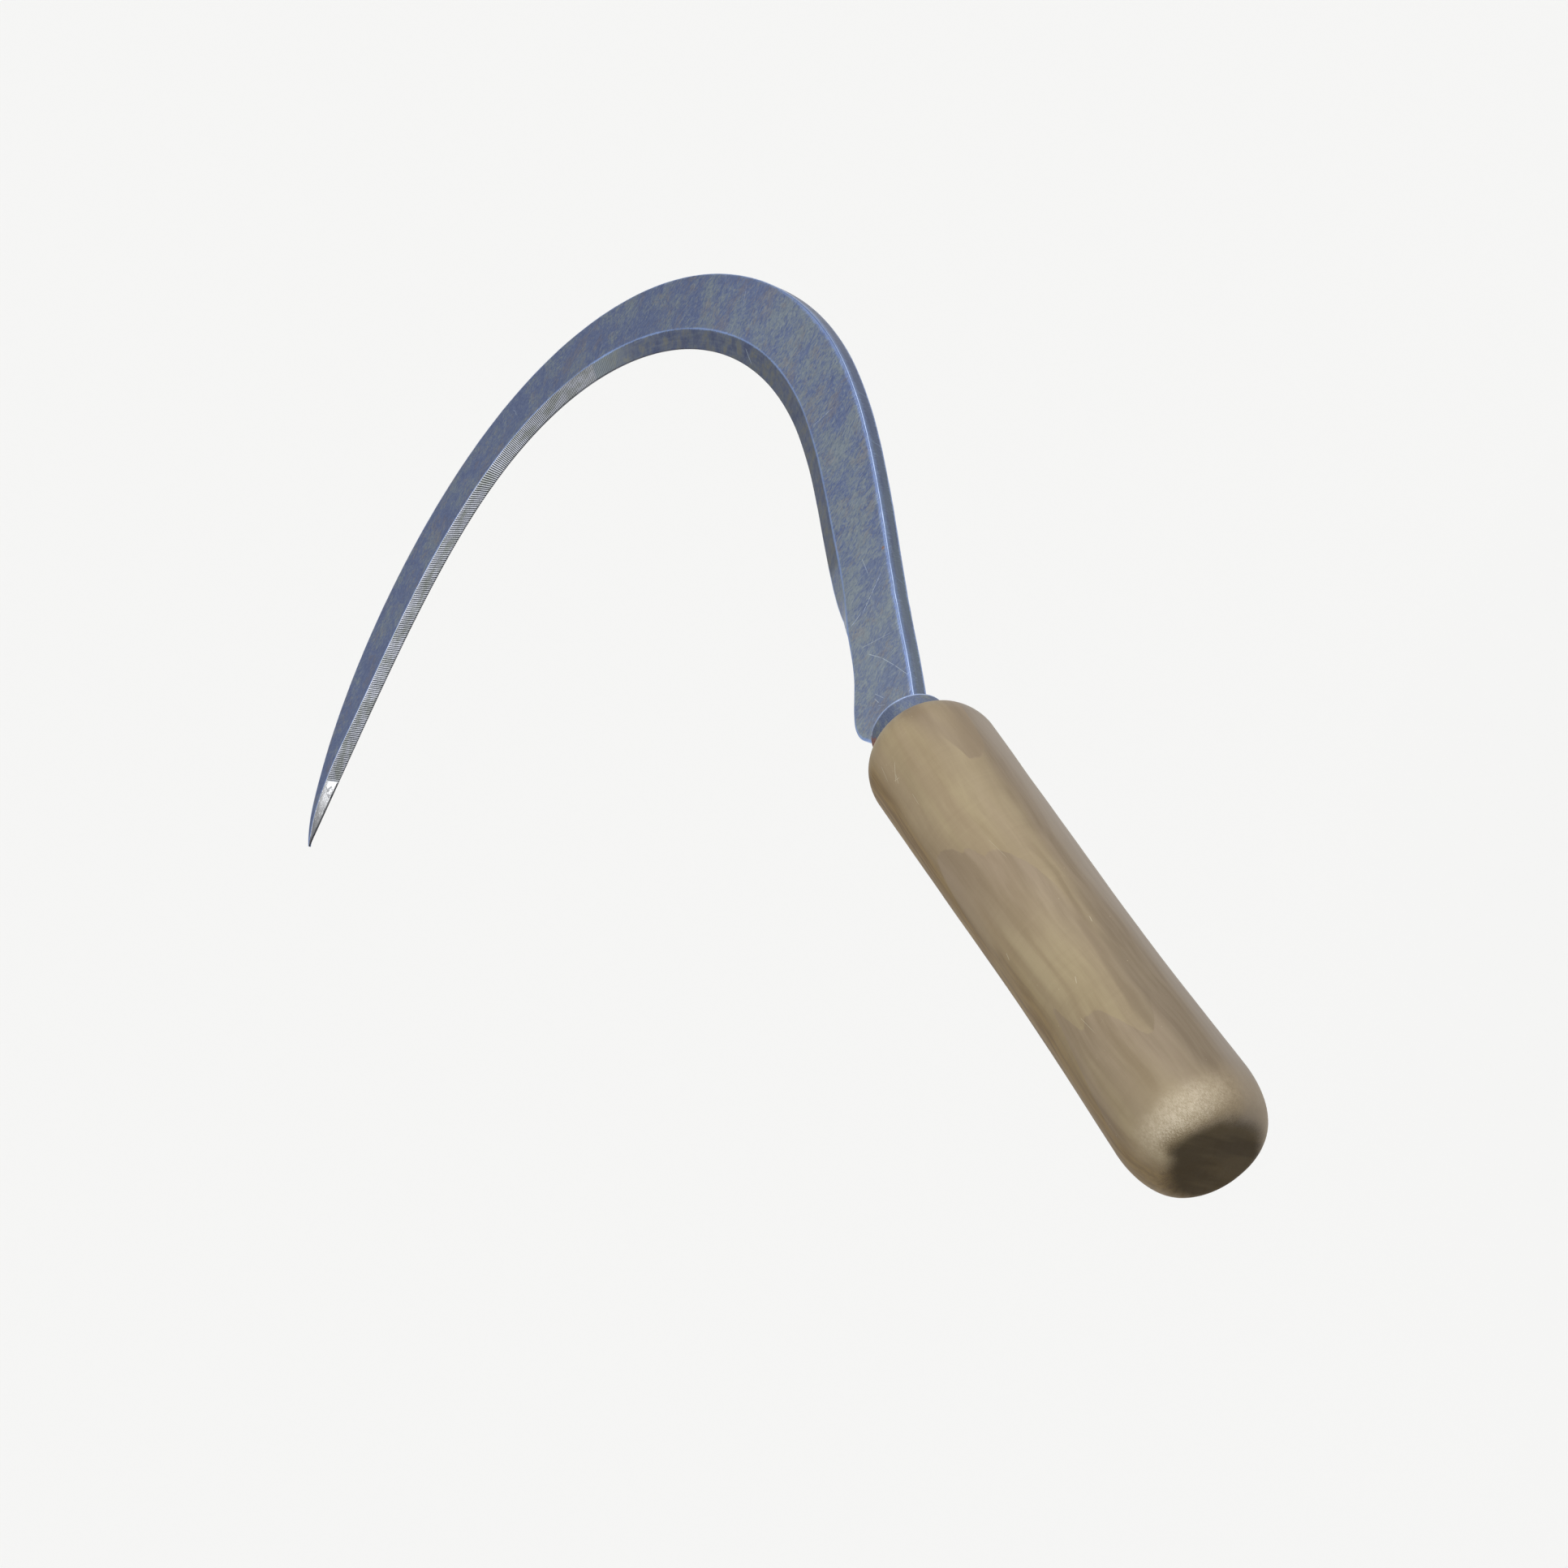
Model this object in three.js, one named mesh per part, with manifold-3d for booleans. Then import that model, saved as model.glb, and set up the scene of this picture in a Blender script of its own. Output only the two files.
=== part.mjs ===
// Hand sickle: a forged hook blade with an integral tang, a steel ferrule and a
// turned wooden handle.
//
// Millimetres, +Z up. The handle axis is the X axis: the flat butt of the handle
// is at x = 0 and the blade points towards +X. The blade lies in the XY plane,
// centred on z = 0, and hooks round towards +Y, so its cutting edge is on the
// inside of the hook.

import * as THREE from 'three';
import { mergeVertices } from 'three/addons/utils/BufferGeometryUtils.js';
import Module from 'manifold-3d';

const wasm = await Module();
wasm.setup();

// ---------------------------------------------------------------- dimensions

// handle
const HANDLE_LENGTH = 145.2;      // butt face to shoulder
const BUTT_FLAT_RADIUS = 10.5;    // flat at the end of the handle
const BUTT_RADIUS = 16.0;         // largest radius at the butt end
const BUTT_ROUNDING = 12.8;       // axial length of the rounding at the butt
const WAIST_RADIUS = 15.55;       // slimmest part of the grip
const GRIP_RADIUS = 16.2;         // grip towards the blade
const SHOULDER_RADIUS = 16.92;    // swell behind the ferrule
const SHOULDER_ROUNDING = 9.9;    // axial length of the rounded shoulder
const SHOULDER_FULLNESS = 1.07;   // 1 is an elliptical rounding, more is flatter
const SHOULDER_FACE_RADIUS = 10.15; // where the shoulder meets the ferrule
const NECK_RADIUS = 8.8;          // spigot turned down inside the ferrule
const NECK_LENGTH = 4.5;

// ferrule
const FERRULE_OUTER_RADIUS = 10.4;
const FERRULE_WALL = 1.5;
const FERRULE_LENGTH = 6.5;
const FERRULE_SEAT = 0.2;         // clearance to the shoulder face
const FERRULE_CHAMFER = 0.4;

// blade
const BLADE_THICKNESS = 4.72;
const EDGE_LAND = 0.42;           // thickness left along the cutting edge
const CORNER_WIDTH = 0.35;        // unground side: the small corner chamfer
const CORNER_DROP = 0.12;

// tang
const TANG_LENGTH = 96;           // from the blade's root into the handle
const TANG_WIDTH = 9.0;
const TANG_THICKNESS = 4.2;
const TANG_TAPER = 0.5;           // end size over root size
const TANG_GAP = 0.3;             // clearance of the burnt-in hole round the tang

const SEGMENTS = 48;

const SHOULDER_X = HANDLE_LENGTH;
const FERRULE_FRONT_X = SHOULDER_X + FERRULE_SEAT + FERRULE_LENGTH;

// The blade is described by stations from the tip to the root. Each station is
// [spine x, spine y, edge x, edge y, bevel width, half thickness], with x counted
// from the handle's shoulder. The bevel runs out at the heel, where the plate
// keeps its full thickness, and the point is thinned on both faces.
const FULL = BLADE_THICKNESS / 2;
const STATIONS = [
  [261.95, 237.75, 261.35, 237.45, 0.10, 0.42],
  [263.30, 237.04, 262.05, 236.45, 0.55, 0.51],
  [265.16, 235.60, 262.47, 234.40, 1.3, 0.69],
  [267.57, 233.35, 262.90, 231.30, 2.5, 0.94],
  [270.23, 230.10, 263.47, 227.25, 3.9, 1.24],
  [272.96, 225.70, 264.19, 222.20, 5.1, 1.56],
  [276.22, 219.30, 265.18, 215.22, 6.0, 1.92],
  [279.78, 211.90, 266.31, 207.36, 6.4, 2.20],
  [284.02, 202.47, 267.69, 197.66, 6.3, FULL],
  [288.49, 190.84, 269.30, 186.11, 5.8, FULL],
  [292.63, 176.88, 271.08, 172.75, 5.4, FULL],
  [296.00, 160.54, 272.85, 157.55, 5.35, FULL],
  [298.18, 141.84, 274.30, 140.47, 5.45, FULL],
  [298.69, 120.86, 274.93, 121.50, 5.5, FULL],
  [297.13, 99.84, 274.15, 102.56, 5.3, FULL],
  [293.40, 79.00, 271.49, 83.86, 5.05, FULL],
  [287.38, 58.60, 266.55, 65.71, 4.95, FULL],
  [278.99, 38.96, 259.30, 48.49, 5.0, FULL],
  [268.25, 20.42, 249.92, 32.50, 5.2, FULL],
  [255.30, 3.29, 238.56, 17.94, 5.45, FULL],
  [240.36, -12.07, 225.38, 4.95, 5.6, FULL],
  [223.58, -25.40, 210.62, -6.24, 5.7, FULL],
  [205.13, -36.46, 194.59, -15.37, 5.8, FULL],
  [185.25, -45.02, 177.60, -22.18, 6.0, FULL],
  [164.16, -50.78, 160.00, -26.46, 6.35, FULL],
  [142.21, -53.31, 142.12, -28.04, 6.5, FULL],
  [120.32, -52.12, 123.98, -26.65, 6.4, FULL],
  [99.25, -47.24, 106.10, -22.15, 6.2, FULL],
  [84.17, -41.87, 93.02, -17.27, 6.2, FULL],
  [69.60, -35.61, 80.10, -11.81, 6.3, FULL],
  [58.19, -30.25, 69.63, -7.51, 6.3, FULL],
  [52.40, -27.40, 63.20, -5.10, 5.9, FULL],
  [47.50, -25.00, 57.60, -3.40, 5.0, FULL],
  [43.60, -23.20, 52.60, -2.35, 3.5, FULL],
  [40.60, -21.75, 48.60, -2.00, 1.8, FULL],
  [37.80, -20.40, 45.20, -1.75, CORNER_WIDTH, FULL],
  [34.60, -19.05, 41.00, 0.05, CORNER_WIDTH, FULL],
  [31.60, -17.70, 36.60, 2.10, CORNER_WIDTH, FULL],
  [28.90, -16.50, 32.60, 4.35, CORNER_WIDTH, FULL],
  [26.30, -15.40, 28.70, 7.25, CORNER_WIDTH, FULL],
  [23.60, -14.25, 25.10, 9.95, CORNER_WIDTH, FULL],
  [20.90, -13.10, 21.40, 11.95, CORNER_WIDTH, FULL],
  [18.20, -11.85, 18.20, 12.30, CORNER_WIDTH, FULL],
  [15.60, -10.65, 15.60, 11.40, CORNER_WIDTH, FULL],
  [13.00, -9.40, 13.00, 10.10, CORNER_WIDTH, FULL],
  [10.30, -8.05, 10.30, 8.70, CORNER_WIDTH, FULL],
  [7.90, -7.00, 7.90, 7.60, CORNER_WIDTH, FULL],
  [6.60, -6.50, 6.60, 7.10, CORNER_WIDTH, FULL],
];
// Root and tang: rectangular sections, [x, lowest y, highest y, thickness].
const TANG_ROOT_X = NECK_LENGTH + 0.9;
const ROOT_SECTIONS = [
  [TANG_ROOT_X, -6.3, 6.9, BLADE_THICKNESS],
  [TANG_ROOT_X - 0.35, -TANG_WIDTH / 2, TANG_WIDTH / 2, TANG_THICKNESS],
  [TANG_ROOT_X - TANG_LENGTH, -TANG_WIDTH * TANG_TAPER / 2, TANG_WIDTH * TANG_TAPER / 2,
    TANG_THICKNESS * TANG_TAPER],
];

// ------------------------------------------------------------------- helpers

function signedVolume(geometry) {
  const p = geometry.attributes.position;
  const index = geometry.index;
  const a = new THREE.Vector3(), b = new THREE.Vector3(), c = new THREE.Vector3();
  let v = 0;
  for (let i = 0; i < index.count; i += 3) {
    a.fromBufferAttribute(p, index.getX(i));
    b.fromBufferAttribute(p, index.getX(i + 1));
    c.fromBufferAttribute(p, index.getX(i + 2));
    v += a.dot(b.cross(c)) / 6;
  }
  return v;
}

// Skin a row of closed sections, all with the same number of points, and cap
// both ends. Every section is convex.
function loft(sections) {
  const n = sections[0].length;
  const position = [];
  const index = [];
  for (const s of sections) for (const q of s) position.push(q.x, q.y, q.z);
  for (let i = 0; i + 1 < sections.length; i++) {
    for (let j = 0; j < n; j++) {
      const k = (j + 1) % n;
      const a = i * n + j, b = i * n + k, c = (i + 1) * n + j, d = (i + 1) * n + k;
      index.push(a, b, d, a, d, c);
    }
  }
  const last = (sections.length - 1) * n;
  for (let j = 1; j + 1 < n; j++) {
    index.push(0, j + 1, j);
    index.push(last, last + j, last + j + 1);
  }
  const geometry = new THREE.BufferGeometry();
  geometry.setAttribute('position', new THREE.Float32BufferAttribute(position, 3));
  geometry.setIndex(index);
  if (signedVolume(geometry) < 0) {
    const flipped = [];
    for (let i = 0; i < index.length; i += 3) flipped.push(index[i], index[i + 2], index[i + 1]);
    geometry.setIndex(flipped);
  }
  return geometry;
}

// A turned solid round the X axis, from a profile of [x, radius] points.
function turned(profile) {
  const geometry = new THREE.LatheGeometry(
    profile.map(([x, r]) => new THREE.Vector2(r, x)), SEGMENTS);
  geometry.rotateZ(-Math.PI / 2);
  return geometry;
}

function toManifold(geometry) {
  const g = geometry.clone();
  g.deleteAttribute('normal');
  g.deleteAttribute('uv');
  const m = mergeVertices(g, 1e-4);
  return new wasm.Manifold(new wasm.Mesh({
    numProp: 3,
    vertProperties: new Float32Array(m.attributes.position.array),
    triVerts: new Uint32Array(m.index.array),
  }));
}

function fromManifold(manifold) {
  const mesh = manifold.getMesh();
  const geometry = new THREE.BufferGeometry();
  geometry.setAttribute('position', new THREE.BufferAttribute(mesh.vertProperties, 3));
  geometry.setIndex(new THREE.BufferAttribute(mesh.triVerts, 1));
  return geometry;
}

// --------------------------------------------------------------------- blade

// A station's section: the spine is square, both faces run flat to the bevel,
// and the two bevels meet in a narrow land on the cutting edge.
function bladeSection(spine, edge, bevel, half) {
  const across = new THREE.Vector2().subVectors(spine, edge);
  const width = across.length();
  across.normalize();
  const w = Math.min(bevel, width * 0.72);
  const unground = half - CORNER_DROP;
  // how far the grinding has gone: nothing at the heel, the full land elsewhere
  const ground = THREE.MathUtils.clamp((bevel - CORNER_WIDTH) / 3.2, 0, 1);
  const tip = 1 - THREE.MathUtils.clamp(half / FULL, 0, 1);
  const depth = Math.max(ground, tip > 0 ? 1 : 0);
  const land = Math.min(THREE.MathUtils.lerp(unground, EDGE_LAND / 2, depth), half * 0.8);
  const line = edge.clone().addScaledVector(across, w);
  return [
    new THREE.Vector3(spine.x, spine.y, half),
    new THREE.Vector3(line.x, line.y, half),
    new THREE.Vector3(edge.x, edge.y, land),
    new THREE.Vector3(edge.x, edge.y, -land),
    new THREE.Vector3(line.x, line.y, -half),
    new THREE.Vector3(spine.x, spine.y, -half),
  ];
}

function buildBlade() {
  const spineCurve = new THREE.CatmullRomCurve3(
    STATIONS.map((s) => new THREE.Vector3(s[0] + SHOULDER_X, s[1], 0)), false, 'centripetal');
  const edgeCurve = new THREE.CatmullRomCurve3(
    STATIONS.map((s) => new THREE.Vector3(s[2] + SHOULDER_X, s[3], 0)), false, 'centripetal');
  const sizeCurve = new THREE.CatmullRomCurve3(
    STATIONS.map((s, i) => new THREE.Vector3(s[4], s[5], i * 10)), false, 'centripetal');
  const sections = [];
  const last = STATIONS.length - 1;
  for (let i = 0; i <= last; i++) {
    const next = STATIONS[Math.min(i + 1, last)];
    const chord = Math.hypot(next[0] - STATIONS[i][0], next[1] - STATIONS[i][1]);
    const steps = Math.max(1, Math.round(chord / 4));
    for (let k = 0; k < (i === last ? 1 : steps); k++) {
      const u = (i + k / steps) / last;
      const spine = spineCurve.getPoint(u), edge = edgeCurve.getPoint(u);
      const size = sizeCurve.getPoint(u);
      sections.push(bladeSection(new THREE.Vector2(spine.x, spine.y),
        new THREE.Vector2(edge.x, edge.y), size.x, Math.min(size.y, FULL)));
    }
  }
  for (const [x, y0, y1, t] of ROOT_SECTIONS) {
    const half = t / 2;
    const X = x + SHOULDER_X;
    sections.push([
      new THREE.Vector3(X, y0, half),
      new THREE.Vector3(X, y1 - CORNER_WIDTH, half),
      new THREE.Vector3(X, y1, half - CORNER_DROP),
      new THREE.Vector3(X, y1, -half + CORNER_DROP),
      new THREE.Vector3(X, y1 - CORNER_WIDTH, -half),
      new THREE.Vector3(X, y0, -half),
    ]);
  }
  return loft(sections);
}

// -------------------------------------------------------------------- handle

function handleProfile() {
  const L = HANDLE_LENGTH;
  const profile = [[0, 0], [0, BUTT_FLAT_RADIUS]];
  // rounded butt: a quarter of an ellipse
  for (let i = 1; i <= 9; i++) {
    const a = (i / 9) * Math.PI / 2;
    profile.push([BUTT_ROUNDING * (1 - Math.cos(a)),
      BUTT_FLAT_RADIUS + (BUTT_RADIUS - BUTT_FLAT_RADIUS) * Math.sin(a)]);
  }
  // grip: a shallow waist between two swells
  const from = BUTT_ROUNDING, to = L - SHOULDER_ROUNDING;
  const grip = new THREE.CatmullRomCurve3([
    new THREE.Vector3(from, BUTT_RADIUS, 0),
    new THREE.Vector3(from + (to - from) / 3, WAIST_RADIUS, 0),
    new THREE.Vector3(from + (to - from) * 2 / 3, GRIP_RADIUS, 0),
    new THREE.Vector3(to, SHOULDER_RADIUS, 0),
  ]);
  for (let i = 1; i <= 14; i++) {
    const q = grip.getPoint(i / 14);
    profile.push([q.x, q.y]);
  }
  // rounded shoulder, down to the ferrule
  for (let i = 1; i <= 9; i++) {
    const a = (i / 9) * Math.PI / 2;
    profile.push([to + SHOULDER_ROUNDING * Math.sin(a) ** SHOULDER_FULLNESS,
      SHOULDER_FACE_RADIUS
        + (SHOULDER_RADIUS - SHOULDER_FACE_RADIUS) * Math.max(Math.cos(a), 0) ** SHOULDER_FULLNESS]);
  }
  profile.push([L, NECK_RADIUS]);
  profile.push([L + NECK_LENGTH - 0.4, NECK_RADIUS]);
  profile.push([L + NECK_LENGTH, NECK_RADIUS - 0.4]);
  profile.push([L + NECK_LENGTH, 0]);
  return profile;
}

function buildHandle() {
  const body = toManifold(turned(handleProfile()));
  // the tapered hole burnt in for the tang
  const rootX = SHOULDER_X + TANG_ROOT_X + 2;
  const endX = SHOULDER_X + TANG_ROOT_X - TANG_LENGTH - TANG_GAP;
  const length = rootX - endX;
  const taper = TANG_TAPER;
  const perMm = (1 - taper) / TANG_LENGTH;
  const rootScale = 1 + perMm * 2;
  const hole = new THREE.CylinderGeometry(rootScale / Math.SQRT2, taper / Math.SQRT2, length, 4, 1);
  hole.rotateY(Math.PI / 4);
  hole.rotateZ(-Math.PI / 2);
  // after the turn the section is square to Y and Z; scale it to the tang's shape
  hole.scale(1, TANG_WIDTH + 2 * TANG_GAP / taper, TANG_THICKNESS + 2 * TANG_GAP / taper);
  hole.translate((rootX + endX) / 2, 0, 0);
  return fromManifold(body.subtract(toManifold(hole)));
}

// ------------------------------------------------------------------- ferrule

function buildFerrule() {
  const x0 = SHOULDER_X + FERRULE_SEAT, x1 = FERRULE_FRONT_X;
  const R = FERRULE_OUTER_RADIUS, r = R - FERRULE_WALL, c = FERRULE_CHAMFER;
  return turned([
    [x0, r], [x0, R - c * 0.5], [x0 + c * 0.5, R],
    [x1 - c, R], [x1 - c * 0.3, R - c * 0.3], [x1, R - c],
    [x1, r + c * 0.6], [x1 - c * 0.6, r],
    [x0, r],
  ]);
}

// ------------------------------------------------------------------ assembly

const forgedSteel = new THREE.MeshStandardMaterial({ color: 0x5f6b88, roughness: 0.48, metalness: 0.85 });
const ferruleSteel = new THREE.MeshStandardMaterial({ color: 0x5a6888, roughness: 0.5, metalness: 0.85 });
const turnedWood = new THREE.MeshStandardMaterial({ color: 0x9a876b, roughness: 0.6, metalness: 0.0 });

const group = new THREE.Group();
group.name = 'hand_sickle';

function add(name, geometry, material) {
  const mesh = new THREE.Mesh(geometry, material);
  mesh.name = name;
  geometry.computeVertexNormals();
  group.add(mesh);
  return mesh;
}

add('blade_with_tang', buildBlade(), forgedSteel);
add('ferrule', buildFerrule(), ferruleSteel);
add('handle', buildHandle(), turnedWood);

export default group;
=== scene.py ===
# Hand sickle: the looks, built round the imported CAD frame.
#
# Metres, in the CAD's frame: the origin is the centre of the handle's flat butt,
# +X runs along the handle to the blade, the blade lies in the XY plane and hooks
# towards +Y. Working numbers below are millimetres and are scaled at the end.

import math

import bpy
import numpy as np
from mathutils import Matrix, Vector, noise as mnoise


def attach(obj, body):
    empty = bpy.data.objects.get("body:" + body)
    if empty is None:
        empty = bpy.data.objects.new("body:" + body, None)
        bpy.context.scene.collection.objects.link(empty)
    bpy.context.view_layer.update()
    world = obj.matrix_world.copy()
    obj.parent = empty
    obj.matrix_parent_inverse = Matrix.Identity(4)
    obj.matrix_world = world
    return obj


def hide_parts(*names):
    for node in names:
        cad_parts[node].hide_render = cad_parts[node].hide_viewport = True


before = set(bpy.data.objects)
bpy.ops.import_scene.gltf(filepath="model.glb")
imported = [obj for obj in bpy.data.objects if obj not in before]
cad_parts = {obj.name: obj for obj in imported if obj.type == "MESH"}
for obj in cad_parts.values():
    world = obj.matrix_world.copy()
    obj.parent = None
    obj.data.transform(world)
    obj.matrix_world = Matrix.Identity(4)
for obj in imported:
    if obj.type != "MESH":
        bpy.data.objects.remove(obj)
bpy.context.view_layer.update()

MM = 0.001

# ------------------------------------------------------------------- the camera

cam_data = bpy.data.cameras.new("camera")
cam = bpy.data.objects.new("camera", cam_data)
bpy.context.scene.collection.objects.link(cam)
cam_data.sensor_width = 36.0
cam_data.lens = 50.0
cam_data.clip_start, cam_data.clip_end = 0.01, 200.0
cam_x = Vector((-0.35722908, -0.50018359, -0.78879893))
cam_y = Vector((0.58001697, -0.78074919, 0.2324027))
cam_z = Vector((-0.73209815, -0.37449576, 0.56902129))
cam.matrix_world = Matrix.Translation((-0.24371, -0.17730, 0.33123)) @ Matrix(
    (cam_x, cam_y, cam_z)).transposed().to_4x4()
bpy.context.scene.camera = cam

# ------------------------------------------------------------ numbers of the CAD

SHOULDER_X = 145.2
HALF = 2.36                    # half the plate's thickness
CORNER_WIDTH, CORNER_DROP = 0.35, 0.12
EDGE_LAND = 0.42
# spine x, spine y, edge x, edge y, bevel width, half thickness; x from the shoulder
STATIONS = np.array([
    [261.95, 237.75, 261.35, 237.45, 0.10, 0.42],
    [263.30, 237.04, 262.05, 236.45, 0.55, 0.51],
    [265.16, 235.60, 262.47, 234.40, 1.3, 0.69],
    [267.57, 233.35, 262.90, 231.30, 2.5, 0.94],
    [270.23, 230.10, 263.47, 227.25, 3.9, 1.24],
    [272.96, 225.70, 264.19, 222.20, 5.1, 1.56],
    [276.22, 219.30, 265.18, 215.22, 6.0, 1.92],
    [279.78, 211.90, 266.31, 207.36, 6.4, 2.20],
    [284.02, 202.47, 267.69, 197.66, 6.3, HALF],
    [288.49, 190.84, 269.30, 186.11, 5.8, HALF],
    [292.63, 176.88, 271.08, 172.75, 5.4, HALF],
    [296.00, 160.54, 272.85, 157.55, 5.35, HALF],
    [298.18, 141.84, 274.30, 140.47, 5.45, HALF],
    [298.69, 120.86, 274.93, 121.50, 5.5, HALF],
    [297.13, 99.84, 274.15, 102.56, 5.3, HALF],
    [293.40, 79.00, 271.49, 83.86, 5.05, HALF],
    [287.38, 58.60, 266.55, 65.71, 4.95, HALF],
    [278.99, 38.96, 259.30, 48.49, 5.0, HALF],
    [268.25, 20.42, 249.92, 32.50, 5.2, HALF],
    [255.30, 3.29, 238.56, 17.94, 5.45, HALF],
    [240.36, -12.07, 225.38, 4.95, 5.6, HALF],
    [223.58, -25.40, 210.62, -6.24, 5.7, HALF],
    [205.13, -36.46, 194.59, -15.37, 5.8, HALF],
    [185.25, -45.02, 177.60, -22.18, 6.0, HALF],
    [164.16, -50.78, 160.00, -26.46, 6.35, HALF],
    [142.21, -53.31, 142.12, -28.04, 6.5, HALF],
    [120.32, -52.12, 123.98, -26.65, 6.4, HALF],
    [99.25, -47.24, 106.10, -22.15, 6.2, HALF],
    [84.17, -41.87, 93.02, -17.27, 6.2, HALF],
    [69.60, -35.61, 80.10, -11.81, 6.3, HALF],
    [58.19, -30.25, 69.63, -7.51, 6.3, HALF],
    [52.40, -27.40, 63.20, -5.10, 5.9, HALF],
    [47.50, -25.00, 57.60, -3.40, 5.0, HALF],
    [43.60, -23.20, 52.60, -2.35, 3.5, HALF],
    [40.60, -21.75, 48.60, -2.00, 1.8, HALF],
    [37.80, -20.40, 45.20, -1.75, CORNER_WIDTH, HALF],
    [34.60, -19.05, 41.00, 0.05, CORNER_WIDTH, HALF],
    [31.60, -17.70, 36.60, 2.10, CORNER_WIDTH, HALF],
    [28.90, -16.50, 32.60, 4.35, CORNER_WIDTH, HALF],
    [26.30, -15.40, 28.70, 7.25, CORNER_WIDTH, HALF],
    [23.60, -14.25, 25.10, 9.95, CORNER_WIDTH, HALF],
    [20.90, -13.10, 21.40, 11.95, CORNER_WIDTH, HALF],
    [18.20, -11.85, 18.20, 12.30, CORNER_WIDTH, HALF],
    [15.60, -10.65, 15.60, 11.40, CORNER_WIDTH, HALF],
    [13.00, -9.40, 13.00, 10.10, CORNER_WIDTH, HALF],
    [10.30, -8.05, 10.30, 8.70, CORNER_WIDTH, HALF],
    [7.90, -7.00, 7.90, 7.60, CORNER_WIDTH, HALF],
    [6.60, -6.50, 6.60, 7.10, CORNER_WIDTH, HALF],
])
TANG_ROOT_X = SHOULDER_X + 5.4
TANG_LENGTH, TANG_WIDTH, TANG_THICKNESS, TANG_TAPER = 96.0, 9.0, 4.2, 0.5

# the file-cut grooves on the upper bevel
# along the edge from the point, mm: the file was set square near the point, leaned more
# and more as the edge curved away from it, and was set again for the last quarter
FILING = np.array([
    # along, pitch, slant in degrees
    [0, 0.774, 0], [14, 0.774, 12], [28, 0.774, 17], [37, 0.775, 18], [55, 0.781, 22], [75, 0.786, 25],
    [95, 0.806, 30], [115, 0.832, 34], [135, 0.878, 40], [152, 0.925, 44], [158, 0.905, 42], [168, 0.79, 27],
    [175, 0.764, 24], [192, 0.722, 22], [203, 0.712, 14], [215, 0.707, 6], [227, 0.705, 3], [250, 0.70, 0],
])
GROOVE_DEPTH = 0.135
NOTCH_DEPTH = 0.24
SERRATION_FROM = (410.7, 209.8)   # where they start and end along the edge
SERRATION_TO = (384.7, 19.7)
SERRATION_FADE = 22.0


def smoothstep(x, a, b):
    t = np.clip((np.asarray(x, float) - a) / (b - a), 0, 1)
    return t * t * (3 - 2 * t)


def catmull(points, t):
    """three.js's centripetal Catmull-Rom curve through points, at t from 0 to 1."""
    points = np.asarray(points, float)
    n = len(points)
    t = np.atleast_1d(np.asarray(t, float))
    p = np.clip(t, 0, 1) * (n - 1)
    i = np.minimum(np.floor(p).astype(int), n - 2)
    w = (p - i)[:, None]
    ext = np.vstack([2 * points[0] - points[1], points, 2 * points[-1] - points[-2]])
    p0, p1, p2, p3 = ext[i], ext[i + 1], ext[i + 2], ext[i + 3]
    d = lambda a, b: np.maximum(((a - b) ** 2).sum(1) ** 0.25, 1e-4)[:, None]
    d0, d1, d2 = d(p0, p1), d(p1, p2), d(p2, p3)
    m1 = ((p1 - p0) / d0 - (p2 - p0) / (d0 + d1) + (p2 - p1) / d1) * d1
    m2 = ((p2 - p1) / d1 - (p3 - p1) / (d1 + d2) + (p3 - p2) / d2) * d1
    return (p1 + m1 * w + (-3 * p1 + 3 * p2 - 2 * m1 - m2) * w ** 2
            + (2 * p1 - 2 * p2 + m1 + m2) * w ** 3)


def new_piece(name, verts, faces, uv=None, attributes=None, smooth=True):
    """A mesh object from arrays in millimetres. uv holds one pair a corner."""
    mesh = bpy.data.meshes.new(name)
    verts = np.asarray(verts, float) * MM
    mesh.from_pydata(verts.tolist(), [], faces)
    mesh.update()
    if uv is not None:
        layer = mesh.uv_layers.new(name="OFBake")
        layer.data.foreach_set("uv", np.asarray(uv, np.float32).ravel())
    for key, values in (attributes or {}).items():
        values = np.asarray(values, np.float32)
        kind = "FLOAT" if values.ndim == 1 else "FLOAT_VECTOR"
        a = mesh.attributes.new(key, kind, "POINT")
        a.data.foreach_set("value" if kind == "FLOAT" else "vector", values.ravel())
    mesh.polygons.foreach_set("use_smooth", [smooth] * len(mesh.polygons))
    mesh.validate()
    obj = bpy.data.objects.new(name, mesh)
    bpy.context.scene.collection.objects.link(obj)
    return obj


def wobble(x, scale, seed, octaves=3):
    """Smooth noise of one number, about -1 to 1."""
    return np.array([mnoise.fractal(Vector((v / scale, seed * 7.31, seed * 1.7)), 1.0, 2.0, octaves)
                     for v in np.atleast_1d(x)])


# -------------------------------------------------------------------- the blade

def blade_surface():
    """Lookups of the blade's lines by arc length along its cutting edge."""
    t = np.linspace(0, 1, 24001)
    spine = catmull(np.c_[STATIONS[:, 0] + SHOULDER_X, STATIONS[:, 1]], t)
    edge = catmull(np.c_[STATIONS[:, 2] + SHOULDER_X, STATIONS[:, 3]], t)
    size = catmull(np.c_[STATIONS[:, 4], STATIONS[:, 5], np.arange(len(STATIONS)) * 10.0], t)
    along = np.r_[0, np.cumsum(np.linalg.norm(np.diff(edge, axis=0), axis=1))]
    middle = (spine + edge) / 2
    run = np.r_[0, np.cumsum(np.linalg.norm(np.diff(middle, axis=0), axis=1))]
    return along, spine, edge, size[:, 0], np.minimum(size[:, 1], HALF), run


ALONG, SPINE, EDGE, BEVEL, THICK, RUN = blade_surface()
EDGE_LENGTH = ALONG[-1]


def nearest_along(point):
    return ALONG[np.argmin(((EDGE - np.array(point)) ** 2).sum(1))]


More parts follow.
